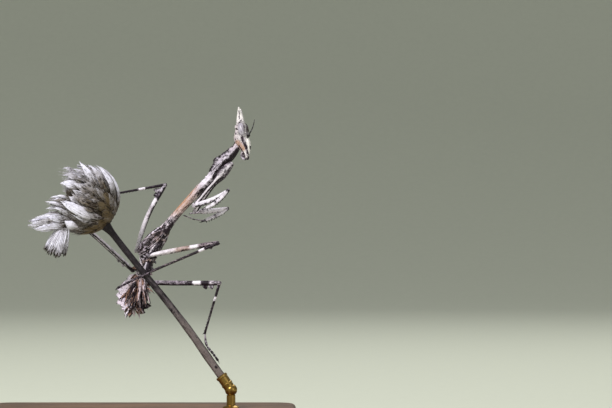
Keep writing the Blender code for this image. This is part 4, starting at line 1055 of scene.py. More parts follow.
# %% Places of the walking legs, from the body to the toes
LEGS = {
    "leg_mid_right": {
        "line": ((3.4, 2.9, 34.6), (1.6, 2.1, 32.5), (14.1, -2.5, 34.8), (2.2, -1.0, 29.75)),
        "foot": ((0.9, -0.97, 29.1), (-1.4, -0.7, 28.05), (-4.0, 0.1, 26.7)),
        # this femur's lower side is darkened by 0.5 as painted shade, less than on the other legs
        "bow": (0, 0, 0.1), "up": (0, 0, 1), "under": 0.5, "lobes": ((0.88, 0.55, (0.35, 0, -1)),),
        "coxa": ((0, 0.8, 0.1, 0.6), (0.5, 0.5, 0.2, 0.9), (1, 0.6, 0, 0.6)),
        "femur": ((0, 0.1, 0.1, 0.9), (0.12, 0.02, 0.1, 1), (0.36, 0.1, 0.2, 0.8), (0.42, 0.25, 0.62, 0.5),
                  (0.58, 0.28, 0.6, 0.5), (0.62, 0.02, 0, 1), (0.7, 0.02, 0, 1), (0.74, 0.62, 0.25, 0.3),
                  (0.94, 0.5, 0.2, 0.4), (1, 0.75, 0.1, 0.3)),
        "tibia": ((0, 0.9, 0, 0.3), (0.19, 0.85, 0.1, 0.3), (0.21, 0.02, 0, 1), (0.27, 0.02, 0, 1),
                  (0.3, 0.8, 0.3, 0.3), (0.7, 0.7, 0.35, 0.4), (1, 0.8, 0.2, 0.3)),
        "tarsus": ((0, 0.85, 0.1, 0.3), (0.5, 0.78, 0.1, 0.2), (1, 0.85, 0, 0.2))},
    "leg_mid_left": {
        "line": ((1.2, 5.7, 33.8), (-1.0, 6.9, 33.3), (4.17, 9.0, 45.35), (-6.3, 6.5, 43.42)),
        "foot": ((-7.1, 6.75, 42.8), (-7.7, 7.0, 42.25), (-8.4, 7.3, 41.7)),
        "bow": (-0.55, 0, 0.29), "up": (-1, 0, 0.3),
        "lobes": ((0.9, 1.1, (-0.9, 0, 0.1)), (0.84, 0.7, (-1.0, 0, -0.1))),
        "coxa": ((0, 0.6, 0.1, 0.6), (1, 0.3, 0, 0.9)),
        "femur": ((0, 0.0, 0, 1.1), (0.4, 0.0, 0.05, 1.0), (0.5, 0.2, 0.1, 0.8), (0.64, 0.45, 0.1, 0.6),
                  (0.68, 0.02, 0, 1), (0.75, 0.02, 0, 1), (0.79, 0.9, 0, 0.3), (0.86, 0.85, 0, 0.3),
                  (0.9, 0.3, 0, 0.7), (1, 0.6, 0, 0.5)),
        "tibia": ((0, 0.5, 0.1, 0.5), (0.06, 0.9, 0.1, 0.3), (0.33, 0.85, 0.1, 0.3), (0.36, 0.05, 0, 1),
                  (0.44, 0.05, 0, 1), (0.48, 0.85, 0.1, 0.3), (1, 0.85, 0.1, 0.3)),
        "tarsus": ((0, 0.8, 0.1, 0.3), (1, 0.9, 0, 0.3))},
    "leg_hind_right": {
        "line": ((1.35, 3.0, 31.0), (0.95, 2.75, 27.6), (14.4, -3.0, 27.65), (11.65, 0.3, 18.5)),
        "foot": ((12.0, 0.05, 16.4), (13.1, 0.0, 14.95), (14.0, 0.0, 13.7)),
        "bow": (0, 0, -0.05), "up": (0, 0, 1),
        "lobes": ((0.8, 0.8, (0.25, 0, -1)), (0.88, 0.8, (0.25, 0, -1))),
        "coxa": ((0, 0.75, 0, 0.5), (0.6, 0.6, 0, 0.6), (0.85, 0.2, 0, 1), (1, 0.2, 0, 1)),
        "femur": ((0, 0.1, 0.1, 0.9), (0.1, 0.42, 0.05, 0.3), (0.55, 0.48, 0.05, 0.2),
                  (0.62, 0.85, 0.05, 0.2),
                  (0.655, 0.02, 0, 1), (0.74, 0.02, 0, 1), (0.77, 0.98, 0, 0.2), (0.85, 0.95, 0, 0.3),
                  (0.88, 0.5, 0.1, 0.6), (1, 0.65, 0.1, 0.5)),
        "tibia": ((0, 0.6, 0.1, 0.6), (0.1, 0.9, 0, 0.3), (0.24, 0.85, 0, 0.3), (0.27, 0.02, 0, 1),
                  (0.33, 0.02, 0, 1), (0.36, 0.8, 0.1, 0.4), (1, 0.7, 0.1, 0.5)),
        "tarsus": ((0, 0.6, 0.1, 0.5), (0.5, 0.7, 0, 0.4), (1, 0.9, 0, 0.4))},
    "leg_hind_left": {
        "line": ((0.4, 5.9, 31.2), (-1.7, 6.9, 29.75), (-11.6, 11.3, 38.4), (-10.0, 7.1, 44.8)),
        "foot": ((-9.62, 6.6, 45.8), (-9.18, 5.95, 46.66), (-8.8, 5.25, 47.44)),
        "bow": (0, 0, 0.1), "up": (0.65, 0, 0.75), "edges": 0.7,
        "lobes": ((0.16, 0.45, (-0.3, 0, -1)), (0.24, 0.4, (-0.3, 0, -1))),
        "coxa": ((0, 0.95, 0, 0.2), (1, 0.9, 0, 0.3)),
        "femur": ((0, 0.6, 0.2, 0.7), (0.1, 0.15, 0.1, 0.9), (0.5, 0.1, 0.1, 0.9), (1, 0.3, 0.1, 0.7)),
        "tibia": ((0, 0.8, 0.1, 0.3), (0.3, 0.1, 0, 1), (0.4, 0.8, 0, 0.3), (1, 0.8, 0, 0.3)),
        "tarsus": ((0, 0.8, 0.1, 0.3), (1, 0.9, 0, 0.3))},
}
COXA_SIZES = (0.58, 0.66, 0.58, 0.46, 0.4)
FEMUR_SIZES = (0.33, 0.4, 0.42, 0.41, 0.39, 0.42, 0.36)
TIBIA_SIZES = (0.28, 0.25, 0.225, 0.21, 0.205, 0.24)
for leg in LEGS.values():
    leg["line"] = [np.array(place) for place in leg["line"]]


# %% Limbs, spines and feet
def keeled(depth, count=4):
    """A profile with soft keels along a limb."""
    return lambda angle, share: 1 + depth * np.cos(count * angle) + 0 * share


def point_at(start, end, share, bow=(0, 0, 0)):
    """A place on a limb from start to end that bows out half way."""
    return start + (end - start) * share + np.array(bow) * math.sin(math.pi * share)


def run_of(start, end, sizes, bow=(0, 0, 0), flat=1.0, count=90):
    """Rows of such a limb, which swells by the given sizes."""
    return smooth([(*point_at(start, end, share, bow), size, size * flat)
                   for share, size in zip(np.linspace(0, 1, len(sizes)), sizes)], count)


def ridges(angle, width):
    """1 along a limb's two side edges, fading over the width."""
    return hill(np.abs(np.sin(angle)), 1, width)


def thorn(root, way, length, width, marks, hook=(0, 0, 0)):
    """A tapered spine, bent towards hook."""
    way, hook = unit(way), np.array(hook)
    rows = [(*(root + way * length * t + hook * length * t * t), width * (1 - 0.9 * t), width * (1 - 0.9 * t))
            for t in np.linspace(0, 1, 5)]
    side = unit(np.cross(way, (0.3, 0.2, 0.9)))
    return plain(sweep(rows, side, sides=8, caps=1), *marks)


def pair(spot, way, hinge, apart, spread, length, width, marks):
    """Two spines side by side along the hinge, which lean away from each other."""
    return [thorn(spot + hinge * side * apart, way + hinge * side * spread, length, width, marks)
            for side in (1, -1)]


def bend_of(joint, knee, ankle):
    """The ways that a limb runs before and after its knee, and the axis that the knee turns on."""
    run, way = unit(knee - joint), unit(ankle - knee)
    return run, way, unit(np.cross(run, way))


def square_to(hinge, way, towards):
    """The way square to both the hinge and a limb, on the side that another way leans to."""
    across = unit(np.cross(hinge, way))
    return across * (1 if across @ towards > 0 else -1)


TOE_STOPS = (0, 0.4, 0.58, 0.72, 0.82, 1.0)    # where the five joints of a foot start and end


def toes(path, marks, up, girth=1.0):
    """Five small joints, each wider at its far end, and two hooked claws."""
    line = smooth(path, 121)
    made = []
    for start, end in zip(TOE_STOPS, TOE_STOPS[1:]):
        place = line[np.linspace(int(120 * start), int(120 * end), 9).astype(int)]
        size = girth * np.interp(np.linspace(0, 1, 9), (0, 0.3, 0.8, 1), (0.17, 0.16, 0.24, 0.22))
        joint = sweep(np.column_stack([place, size, size * 1.05]), up, sides=12, caps=2)
        joint = bands(joint, marks, at=(start + end) / 2)
        joint["dark"] = joint["dark"] - 0.2 * (joint["share"] < 0.3)
        made.append(joint)
    way = unit(line[-1] - line[-6])
    side = unit(np.cross(way, up))
    for turn in (1, -1):
        hook = -side * turn * 0.25 - np.array(up) * 0.35
        made.append(thorn(line[-1] + side * turn * 0.07, way + side * turn * 0.5, 0.62 * girth, 0.11 * girth,
                          (0.95, 0.1, 0.2), hook))
    return made


# %% Hip, thigh and shin of a walking leg
def hip(leg):
    """The coxa, dark between two pale ridges, with a ball for the trochanter at its end."""
    root, joint, knee, _ = leg["line"]
    coxa = sweep(run_of(root, joint, COXA_SIZES, count=40), leg["up"], sides=28, profile=keeled(0.06, 5))
    coxa = bands(coxa, leg["coxa"])
    rim = hill(np.abs(np.cos(coxa["angle"])), 1, 0.12)
    coxa["dark"] = coxa["dark"] + 0.3 - 0.75 * rim * (1 - coxa["share"] ** 4)
    run = unit(knee - joint)
    side = unit(np.cross(run, (0.1, 1, 0.2)))
    ball = egg(joint, (0.4, 0.4, 0.44), (side, unit(np.cross(run, side)), run), 20, 14)
    return [coxa, plain(ball, *leg["coxa"][-1][1:])]


def thigh(leg):
    """The long femur with a cap on each side of the knee, and its leaf lobes."""
    _, joint, knee, ankle = leg["line"]
    line = run_of(joint, knee, FEMUR_SIZES, leg["bow"], 0.86)
    tube = sweep(line, leg["up"], sides=28, profile=keeled(0.075))
    # the femur's lower side is darkened as painted shade
    tube = bands(tube, leg["femur"], under=leg.get("under", 0.85))
    tube["dark"] = tube["dark"] + leg.get("edges", 0) * ridges(tube["angle"], 0.08)
    shells = [tube]
    run, _, hinge = bend_of(joint, knee, ankle)
    for side in (1, -1):
        cap = egg(knee - run * 0.12 + hinge * side * 0.2, (0.13, 0.34, 0.42),
                  (hinge, np.cross(run, hinge), run), 16, 12)
        shells.append(plain(cap, *leg["femur"][-1][1:]))
    for share, reach, way in leg["lobes"]:
        way = unit(way)
        base = point_at(joint, knee, share, leg["bow"])
        leaf = blade(base, base + way * (0.38 + reach), np.cross(way, run), 0.52, 0.16, 0.1, 0.05, LEAF,
                     14, 11, 0.1)
        near = np.interp(share, *np.array(leg["femur"])[:, :2].T)
        ribs = 0.3 * np.cos(9 * leaf["angle"]) * (1 - leaf["share"])
        leaf["dark"] = near * 0.75 + 0.45 * leaf["share"] - ribs
        leaf["pale"] = np.full(len(leaf["points"]), 0.7)
        shells.append(leaf)
    return shells


def shin(leg):
    """The thin tibia with two rows of spinules below and two spurs at the ankle."""
    _, joint, knee, ankle = leg["line"]
    run, way, hinge = bend_of(joint, knee, ankle)
    start, below = knee + way * 0.05, square_to(hinge, way, -run)
    tube = sweep(run_of(start, ankle, TIBIA_SIZES, flat=0.95), leg["up"], sides=20, profile=keeled(0.05))
    # the tibia's lower side is lightly darkened as painted shade
    pieces = [bands(tube, leg["tibia"], under=0.15)]
    for number in range(16):
        spot = point_at(start, ankle, 0.12 + 0.82 * number / 15) + below * 0.2
        pieces += pair(spot, below + way * 0.9, hinge, 0.12, 0.4, 0.17, 0.04, (0.7, 0.2, 0.4))
    spur = ankle - way * 0.15 + below * 0.1
    return pieces + pair(spur, way + below * 0.5, hinge, 0.14, 0.4, 0.5, 0.09, (0.9, 0, 0.3))


# %% Building the four walking legs
for name, leg in LEGS.items():
    make(f"{name}_hip", hip(leg), leg_cuticle, [f"{name}_coxa"])
    make(f"{name}_thigh", thigh(leg), leg_cuticle, [f"{name}_femur"])
    make(f"{name}_shin", shin(leg), leg_cuticle, [f"{name}_tibia"])
    foot = toes([leg["line"][3], *leg["foot"]], leg["tarsus"], leg["up"])
    make(f"{name}_foot", foot, leg_cuticle, [f"{name}_tarsus"])

# %% [markdown]
# ## Grasping legs
#
# The front legs are folded under the chest, ready to strike. A long three-sided coxa hangs from the
# shoulder, the spiny femur runs forward from its end, and the tibia folds back under it like the
# blade of a penknife and ends in a strong hook. The thin tarsus trails from there.

# %% Places of the grasping legs
ARMS = {
    "foreleg_right": {
        "line": ((16.4, 1.75, 49.1), (9.75, 1.05, 41.55), (16.0, -2.9, 44.3), (11.3, -0.45, 40.85)),
        "toe": (9.0, 0.9, 40.1), "lift": (0.0, 0, -0.4), "sag": (0.1, 0, -0.52)},
    "foreleg_left": {
        "line": ((15.9, 4.5, 48.9), (9.75, 5.0, 40.45), (15.6, 10.0, 41.0), (11.0, 6.6, 38.65)),
        "toe": (7.7, 5.3, 39.75), "lift": (0, 0, -0.15), "sag": (0, 0, -0.25)},
}
ARM_COXA = (0.5, 0.76, 0.94, 0.74, 0.48, 0.39, 0.38, 0.38, 0.39, 0.4, 0.42)
ARM_FEMUR = (0.38, 0.46, 0.46, 0.42, 0.36, 0.31)
ARM_TIBIA = (0.33, 0.38, 0.39, 0.36, 0.28, 0.15)
FEMUR_BANDS = ((0, 0.5, 0, 0.6), (0.1, 0.12, 0, 0.8), (0.45, 0.06, 0, 1), (0.8, 0.05, 0, 1),
               (0.93, 0.25, 0.1, 0.8), (1, 0.6, 0, 0.5))
TIBIA_BANDS = ((0, 0.6, 0, 0.6), (0.1, 0.12, 0, 0.9), (0.35, 0.1, 0, 1), (0.5, 0.38, 0, 0.7),
               (0.62, 0.1, 0, 0.9), (0.85, 0.15, 0, 0.8), (1, 0.7, 0, 0.4))


# %% Coxa, femur and tibia of a grasping leg
def arm_coxa(root, elbow, knee):
    """The dark coxa with pale edges and two rows of small spines, and a knob at its end."""
    front = (0.7, 0, -0.7)
    line = run_of(root, elbow, ARM_COXA, (-0.12, 0, 0.1), 0.9, 110)
    upper = sweep(line, front, sides=36, profile=keeled(0.06, 3))
    edge = ridges(upper["angle"], 0.085)
    ground = np.interp(upper["share"], (0, 0.25, 0.45, 0.85, 1), (0.6, 0.75, 1.0, 1.05, 0.5))
    clear = np.interp(upper["share"], (0, 0.12, 0.28, 0.36, 0.9, 1), (0.15, 0.25, 0.4, 0.95, 1.0, 0.4))
    upper["dark"] = ground - edge * clear
    upper["warm"] = np.full(len(edge), 0.1)
    upper["pale"] = 0.4 + 0.6 * edge
    pieces = [upper]
    along, top, across = frame_of(line, front)
    for index in range(16, 104, 8):
        spot, way = line[index, :3] + top[index] * line[index, 3] * 0.9, top[index] + along[index] * 0.4
        pieces += pair(spot, way, across[index], 0.15, 0.3, 0.2, 0.07, (0.6, 0.1, 0.7))
    run = unit(knee - elbow)
    knob = egg(elbow, (0.5, 0.46, 0.52), (unit(np.cross(run, (0, 1, 0))), (0, 1, 0), run), 20, 14)
    pieces.append(plain(knob, 0.38, 0.05, 0.75))
    return pieces


def arm_femur(elbow, knee, claw, lift, near):
    """The pale femur, scalloped with grey below, and its two rows of long and short spines."""
    run, fold, hinge = bend_of(elbow, knee, claw)
    below = square_to(hinge, run, fold)
    tube = sweep(run_of(elbow, knee, ARM_FEMUR, lift, 0.82, 80), -below, sides=32, profile=keeled(0.05, 3))
    # the femur's lower side is darkened as painted shade, more strongly on the near arm
    tube = bands(tube, FEMUR_BANDS, under=0.75 if near else 0.55)
    scallop = clamp(np.cos(tube["share"] * 38)) * clamp(0.35 - np.cos(tube["angle"]))
    tube["dark"] = tube["dark"] + 0.34 * scallop
    # the far arm is painted dimmer all over, as painted shade
    if not near:
        tube["pale"] = tube["pale"] * 0.75
        tube["dark"] = tube["dark"] + 0.04
    pieces = [tube]
    for number in range(6):
        spot, way = point_at(elbow, knee, 0.3 + 0.11 * number, lift) + below * 0.36, below * 0.7 + run * 0.35
        length = 0.3 + 0.12 * (number % 2 == 0)
        pieces += pair(spot, way, hinge, 0.2, 0.6, length, 0.07, (0.15, 0.1, 0.9))
    return pieces


def arm_tibia(elbow, knee, claw, sag):
    """The tibia with teeth on its outer edge, two rows of spines inside, and a hook at its end."""
    _, fold, hinge = bend_of(elbow, knee, claw)
    start, outer = knee + fold * 0.12, np.array((0.45, 0.0, -0.89))
    tube = sweep(run_of(start, claw, ARM_TIBIA, sag, 0.85, 80), -outer, sides=32, profile=keeled(0.05, 3))
    # the tibia's lower side is darkened as painted shade
    tube = bands(tube, TIBIA_BANDS, under=0.8)
    scallop = clamp(np.cos(tube["share"] * 34 + 1))
    tube["dark"] = tube["dark"] + 0.34 * scallop * clamp(0.5 + np.cos(tube["angle"]))
    pieces = [tube]
    for number in range(8):
        spot = point_at(start, claw, 0.16 + 0.1 * number, sag)
        pieces.append(thorn(spot + outer * 0.27, outer + fold * 0.35, 0.3, 0.11, (0.85, 0.1, 0.4)))
        pieces += pair(spot - outer * 0.22, -outer * 0.6 + fold * 0.6, hinge, 0.18, 0.7, 0.24, 0.055,
                       (0.2, 0.1, 0.9))
    pieces.append(thorn(claw - fold * 0.1, fold + outer * 0.3, 0.85, 0.15, (0.9, 0.2, 0.3), -outer * 0.5))
    return pieces


# %% Building the grasping legs
for name, arm in ARMS.items():
    root, elbow, knee, claw = (np.array(place, float) for place in arm["line"])
    make(f"{name}_upper", arm_coxa(root, elbow, knee), leg_cuticle, [f"{name}_coxa"])
    femur = arm_femur(elbow, knee, claw, arm["lift"], name.endswith("right"))
    make(f"{name}_femur_shell", femur, leg_cuticle, [f"{name}_femur"])
    make(f"{name}_tibia_shell", arm_tibia(elbow, knee, claw, arm["sag"]), leg_cuticle, [f"{name}_tibia"])
    first = point_at(knee + unit(claw - knee) * 0.12, claw, 0.9, arm["sag"])
    toe = np.array(arm["toe"])
    middle = (first + toe) / 2 + np.array((0, 0, -0.25))
    foot = toes([first, middle, toe - (toe - middle) * 0.05], ((0, 0.4, 0.1, 0.5), (1, 0.55, 0.1, 0.5)),
                (0, 0, 1), 0.6)
    make(f"{name}_foot", foot, leg_cuticle, [f"{name}_tarsus"])

# %% [markdown]
# ## The dry seed head
#
# The mantis clings to the seed head of a dead thistle-like flower. Its cup is a ball of papery
# bracts that overlap like roof tiles: short and olive brown by the stalk, grey brown in the middle,
# and lilac white at their long frayed tips. Old florets and silky pappus hairs fill the mouth. A
# bract is placed by its turn round the cup and by how far up the cup it is rooted.

# %% Dry plant materials
dry_bract = mottled("dry_bract", "papery_dry_bract", "#6A6056", "#E9E6F5", "#5E4A26", "#0E0A08",
                    "#33261B", 0.5, 2.3, 0.62, 2.4)
pappus_silk = mottled("dry_bract", "pappus_silk", "#8A858C", "#D2CEDA", "#8C7C5C", "#3A322B",
                      "#574C40", 0.6, 2.0, 0.55, 1.6)
dry_stem = mottled("dry_stem", "dry_stem_bark", "#4E464E", "#938A88", "#66503F", "#110E13",
                   "#2C2429", 0.5, 1.7, 0.6, 2.2, 0.5)

# %% Places on the cup
CUP = np.array((-10.0, 0.8, 42.4))
CUP_RADIUS = 6.0
OPEN = unit((-0.87, -0.05, 0.49))    # the way that the mouth of the cup opens
steep = np.array((0.49, 0.0, 0.87))
UPWARD = unit(steep - OPEN * (steep @ OPEN))
TOWARDS = np.cross(UPWARD, OPEN)


def on_cup(climb, turn, radius):
    """A place on the cup: climb in degrees from the stalk, turn in degrees from its upper side."""
    climb, turn = math.radians(climb), math.radians(turn)
    ring = UPWARD * math.cos(turn) + TOWARDS * math.sin(turn)
    return CUP + radius * (-math.cos(climb) * OPEN + math.sin(climb) * ring)


HUSK = ((0, 0.75), (0.2, 1.0), (0.5, 0.92), (0.75, 0.62), (0.92, 0.26), (1, 0.05))


def bract(climb, turn, length, half, flare, marks, ragged, radius):
    """A papery scale that hugs the cup and lets its tip stand off by flare."""
    arc = math.degrees(length / CUP_RADIUS)
    path = np.array([on_cup(climb + arc * t * (1 - 0.25 * flare * t), turn,
                            radius + flare * length * 0.45 * t ** 2.2) for t in np.linspace(0, 1, 12)])
    return bands(ribbon(path, unit(path - CUP), half, 0.13, -0.2, HUSK, 11, ragged, 0.04), marks)


OLIVE = ((0, 0.85, 1.0, 0.1), (0.35, 0.3, 1.2, 0.3), (0.8, 0.18, 1.2, 0.5), (1, 0.7, 0.8, 0.4))
UMBER = ((0, 0.8, 0.5, 0.1), (0.4, 0.46, 0.4, 0.2), (0.8, 0.34, 0.3, 0.4), (1, 0.3, 0.15, 0.6))
SILVER = ((0, 0.75, 0.45, 0.1), (0.25, 0.52, 0.3, 0.3), (0.6, 0.28, 0.12, 0.65), (1, 0.05, 0, 0.95))
WHITE = ((0, 0.65, 0.4, 0.3), (0.22, 0.38, 0.25, 0.6), (0.45, 0.12, 0.05, 0.95), (0.85, 0.0, 0.0, 1.0),
         (1, 0.3, 0.1, 0.8))

# %% Rows of bracts
core = egg(CUP - OPEN * 0.95, (5.45, 5.45, 4.4), (UPWARD, TOWARDS, OPEN), 40, 24)
core["points"] = core["points"] + unit(core["points"] - CUP) * (grain(core["points"], 1.1) * 0.18)[:, None]
husks = [plain(core, 0.75, 0.4, 0.2)]
ROWS = ((8, 7), (20, 10), (33, 13), (46, 16), (59, 18), (72, 20), (86, 22))    # climb and count
for row, (climb, count) in enumerate(ROWS):
    for number in range(count):
        turn = 360 * (number + 0.5 * (row % 2)) / count + 7 * (chance.random() - 0.5)
        # bracts on the cup's upper side are silver: partly their own pale colour, partly a painted highlight
        # where light falls on the cup's top
        upper_side = math.cos(math.radians(turn - 10)) > 0.72
        marks = OLIVE if row < 3 and not upper_side else UMBER if row < 6 else SILVER
        if upper_side and row > 3:
            marks = SILVER
        length = 3.4 + 0.28 * row + 0.9 * chance.random() - 1.5 * (row > 4) * (not upper_side)
        flare = 0.05 + 0.045 * row + 0.1 * chance.random()
        half = 1.05 - 0.04 * row + 0.15 * chance.random()
        husks.append(bract(climb + 4 * (chance.random() - 0.5), turn, length, half, flare, marks,
                           0.12 + 0.05 * row, CUP_RADIUS - 0.3 + 0.05 * (6 - row)))
make("seed_head_bracts", husks, dry_bract, ["perch_seed_head"], sharp=50)

# %% Large bracts, torn and folded, each with its own place
TORN_ROWS = 18


def torn(path, face, half, marks, ragged=0.35, thick=0.12, crease=0.05, cup=-0.15, outline=HUSK, across=11):
    """A large free bract along a path."""
    line, faces = smooth(path, TORN_ROWS), np.tile(unit(face), (TORN_ROWS, 1))
    return bands(ribbon(line, faces, half, thick, cup, outline, across, ragged, crease), marks)


BOAT = ((0, 0.25), (0.2, 0.75), (0.45, 1.0), (0.7, 0.85), (0.9, 0.45), (1, 0.15))
STRIP = ((0, 0.8), (0.3, 1.0), (0.7, 0.8), (0.9, 0.5), (1, 0.2))
BOAT_MARKS = ((0, 0.7, 0.5, 0.4), (0.3, 0.35, 0.35, 0.7), (0.42, 0.15, 0.3, 1), (0.6, 0, 0.05, 1),
              (0.9, 0, 0, 1), (1, 0.3, 0, 0.8))
CURLED_MARKS = ((0, 0.3, 0.5, 0.6), (0.4, 0.0, 0.15, 1), (1, 0.0, 0.1, 1))
TORN = (   # path, the way it faces, half width, paint, raggedness
    # the dark fold of the boat-shaped one, the brown scale that overlaps it, and one below it
    (((-7.9, -5.5, 40.6), (-9.0, -6.2, 40.9), (-10.2, -6.1, 41.6)), (0.15, -1, 0.5), 0.42, UMBER, 0.5),
    (((-7.4, -5.0, 41.4), (-9.8, -5.9, 42.4), (-12.3, -5.3, 43.9)), (0.2, -1, 0.4), 0.75, UMBER, 0.5),
    (((-7.2, -4.9, 38.4), (-9.8, -5.5, 39.0), (-12.3, -5.0, 40.2)), (0, -1, -0.2), 0.55, SILVER, 0.5),
    # pointed ones along the upper side
    (((-7.7, -4.5, 45.2), (-8.9, -4.3, 47.2), (-10.2, -3.0, 48.9), (-10.9, -2.2, 49.6)), (0.3, -0.9, 0.3),
     0.66, WHITE),
    (((-6.1, -3.9, 44.6), (-7.2, -3.8, 47.0), (-9.0, -2.6, 49.0)), (0.5, -0.8, 0.3), 0.62, SILVER),
    (((-4.6, -2.0, 42.9), (-4.9, -2.6, 45.4), (-6.4, -2.2, 47.7), (-7.9, -1.4, 48.9)), (0.8, -0.6, 0.2),
     0.7, WHITE),
    (((-3.9, 0.0, 41.2), (-3.7, -0.4, 43.6), (-4.6, -0.4, 46.2), (-6.4, -0.2, 48.3)), (0.95, -0.3, 0.2),
     0.62, WHITE),
    (((-4.6, 1.6, 44.4), (-5.8, 1.5, 47.2), (-7.6, 1.2, 48.9)), (0.7, -0.4, 0.6), 0.7, SILVER),
    (((-11.6, 1.6, 47.2), (-12.9, 1.4, 48.2), (-14.2, 1.2, 48.2)), (0.4, -0.6, 0.8), 0.75, SILVER, 0.5),
    (((-9.8, -2.6, 46.6), (-12.0, -3.2, 47.0), (-13.9, -2.7, 46.9)), (0.1, -0.8, 0.6), 0.95, SILVER, 0.5),
    (((-10.5, -4.2, 45.0), (-12.8, -4.2, 45.5), (-14.6, -3.2, 45.4)), (0.0, -0.9, 0.4), 0.85, WHITE, 0.5),
)
boat = torn(((-6.5, -4.9, 39.3), (-9.2, -6.0, 40.1), (-11.9, -5.8, 41.5), (-14.0, -4.6, 42.6)),
            (0.15, -1, 0.25), 1.0, BOAT_MARKS, 0.35, 0.14, 0.06, -0.4, BOAT, 15)
big = [boat, *(torn(*place) for place in TORN)]
# the pale curled one by the fan
big.append(torn(((-10.9, -4.6, 37.6), (-12.3, -4.9, 38.0), (-13.3, -4.0, 38.8)), (-0.2, -1, -0.2), 0.85,
                CURLED_MARKS, 0.1, 0.16, 0.0, -0.5, BOAT))
print("large bracts:", len(big))

# %% The fan, the hanging tuft and the torn strips
FAN_TIPS = ((-18.1, -1.2, 39.7), (-19.0, -2.4, 39.2), (-20.5, -1.4, 38.6), (-20.1, -2.8, 38.0),
            (-19.7, -1.6, 37.5), (-18.9, -3.0, 37.1), (-17.8, -2.0, 36.8), (-17.0, -3.0, 39.0),
            (-17.2, -3.2, 37.7))
TUFT_TIPS = ((-17.2, -1.5, 33.4), (-16.4, -2.6, 32.6), (-15.5, -1.7, 32.0), (-14.7, -2.7, 31.9),
             (-13.7, -1.8, 32.3))
BLUNT = ((0, 0.8), (0.3, 0.95), (0.7, 0.95), (0.92, 0.8), (1, 0.5))
for number, tip in enumerate(FAN_TIPS):
    tip = np.array(tip)
    root = np.array((-13.0, -2.6 + 0.15 * (number % 3), 38.6 + 0.42 * (tip[2] - 38.3)))
    middle = (root + tip) / 2 + (0, -0.45 - 0.2 * (number % 2), 0.35)
    big.append(torn((root, middle, tip), (0.1, -1, 0.15 * ((number % 3) - 1)), 0.78,
                    WHITE if number % 3 else SILVER, 0.4, 0.11, 0.12, -0.2, STRIP, 13))
for number, tip in enumerate(TUFT_TIPS):
    tip = np.array(tip)
    root = np.array((-13.5 + 0.22 * (tip[0] + 15.5), -2.3, 37.9 + 0.1 * number))
    middle = (root + tip) / 2 + (0.15, -0.45 - 0.25 * (number % 2), 0.2)
    marks = ((0, 0.25, 0.4, 0.6), (0.3, 0.05, 0.1, 0.9), (0.72, 0.05 + 0.12 * number, 0.0, 0.9),
             (0.9, 0.45, 0.1, 0.6), (1, 1.0, 0.1, 0.2))
    big.append(torn((root, middle, tip), (0.1 * (number - 2), -1, 0.1), 0.74, marks, 0.22, 0.11, 0.12,
                    -0.25, BLUNT, 13))
for number in range(16):
    # narrow torn strips between the fan and the mouth
    root = np.array((-12.2 - 1.0 * chance.random(), -3.6 + 1.5 * chance.random(),
                     40.2 + 2.6 * chance.random()))
    tip = root + np.array((-2.6 - 1.3 * chance.random(), 0.4 * chance.random(), -0.6 + 2.2 * chance.random()))
    big.append(torn((root, (root + tip) / 2 + (0, -0.4, 0.3), tip), (0.2, -1, 0.4 * chance.random()), 0.3,
                    WHITE if number % 2 else UMBER, 0.5, 0.1, 0.1, -0.2, STRIP, 7))
make("seed_head_torn_bracts", big, dry_bract, sharp=50)

# %% [markdown]
# ### Pappus hairs
#
# Each seed of such a flower hangs on a tuft of silky hairs. Real ones are 0.02 mm thick, which is
# too fine to see here, so they are drawn at about 0.1 mm. More than a thousand thin three-sided
# strands are built with array arithmetic and joined in one mesh.

# %% Many thin strands at once
def strands(roots, tips, sag, radius, marks):
    """One surface of many tapering hairs, bent by sag."""
    roots, tips, sag = (np.array(value, float) for value in (roots, tips, sag))
    t = np.linspace(0, 1, 6)[None, :, None]
    line = roots[:, None] + (tips - roots)[:, None] * t + sag[:, None] * np.sin(math.pi * t / 1.6)
    run = unit(tips - roots)
    side = unit(np.cross(run, (0.31, 0.2, 0.93)))
    other = np.cross(run, side)
    angle = np.radians((90, 210, 330))[None, :, None]
    ring = side[:, None] * np.cos(angle) + other[:, None] * np.sin(angle)
    size = radius * (1 - 0.85 * t)
    points = line[:, :, None] + ring[:, None] * size[..., None]
    number = np.arange(points[..., 0].size).reshape(points.shape[:3])
    ends = np.concatenate([number[:, 0, ::-1].reshape(-1, 3), number[:, -1].reshape(-1, 3)])
    surface = {"points": points.reshape(-1, 3), "faces": [*walls(number), *ends.tolist()],
               "share": np.broadcast_to(t[..., None], number.shape + (1,)).ravel()}
    surface["flow"] = surface["points"] * 0.4
    return bands(surface, marks)


HAIRS = 260
spread = chance.normal(size=(HAIRS, 3)) * 0.34
hair_roots = CUP + OPEN * 0.6 + UPWARD * 1.2 + unit(spread + OPEN * 1.2) * 3.0
hair_ways = unit(spread * 1.3 + OPEN * 0.75 + UPWARD * 0.55)
taller = np.clip(0.8 + spread @ UPWARD, 0.3, 1.4)[:, None]
hair_tips = hair_roots + hair_ways * (0.8 + 1.4 * chance.random((HAIRS, 1)) * taller)
tufts = [strands(hair_roots, hair_tips, chance.normal(size=(HAIRS, 3)) * 0.22, 0.055,
                 ((0, 0.3, 0.5, 0.4), (0.35, 0.0, 0.15, 0.8), (1, 0.0, 0.0, 1)))]
FUZZ = 700
climbs, turns = 60 + 55 * chance.random(FUZZ), 360 * chance.random(FUZZ)
fuzz_roots = [on_cup(climb, turn, 5.9) for climb, turn in zip(climbs, turns)]
fuzz_tips = [on_cup(climb + 10 + 8 * chance.random(), turn + 8 * chance.normal(), 6.2 + 0.5 * chance.random())
             for climb, turn in zip(climbs, turns)]
tufts.append(strands(fuzz_roots, fuzz_tips, chance.normal(size=(FUZZ, 3)) * 0.08, 0.045,
                     ((0, 0.4, 0.6, 0.3), (1, 0.1, 0.3, 0.6))))
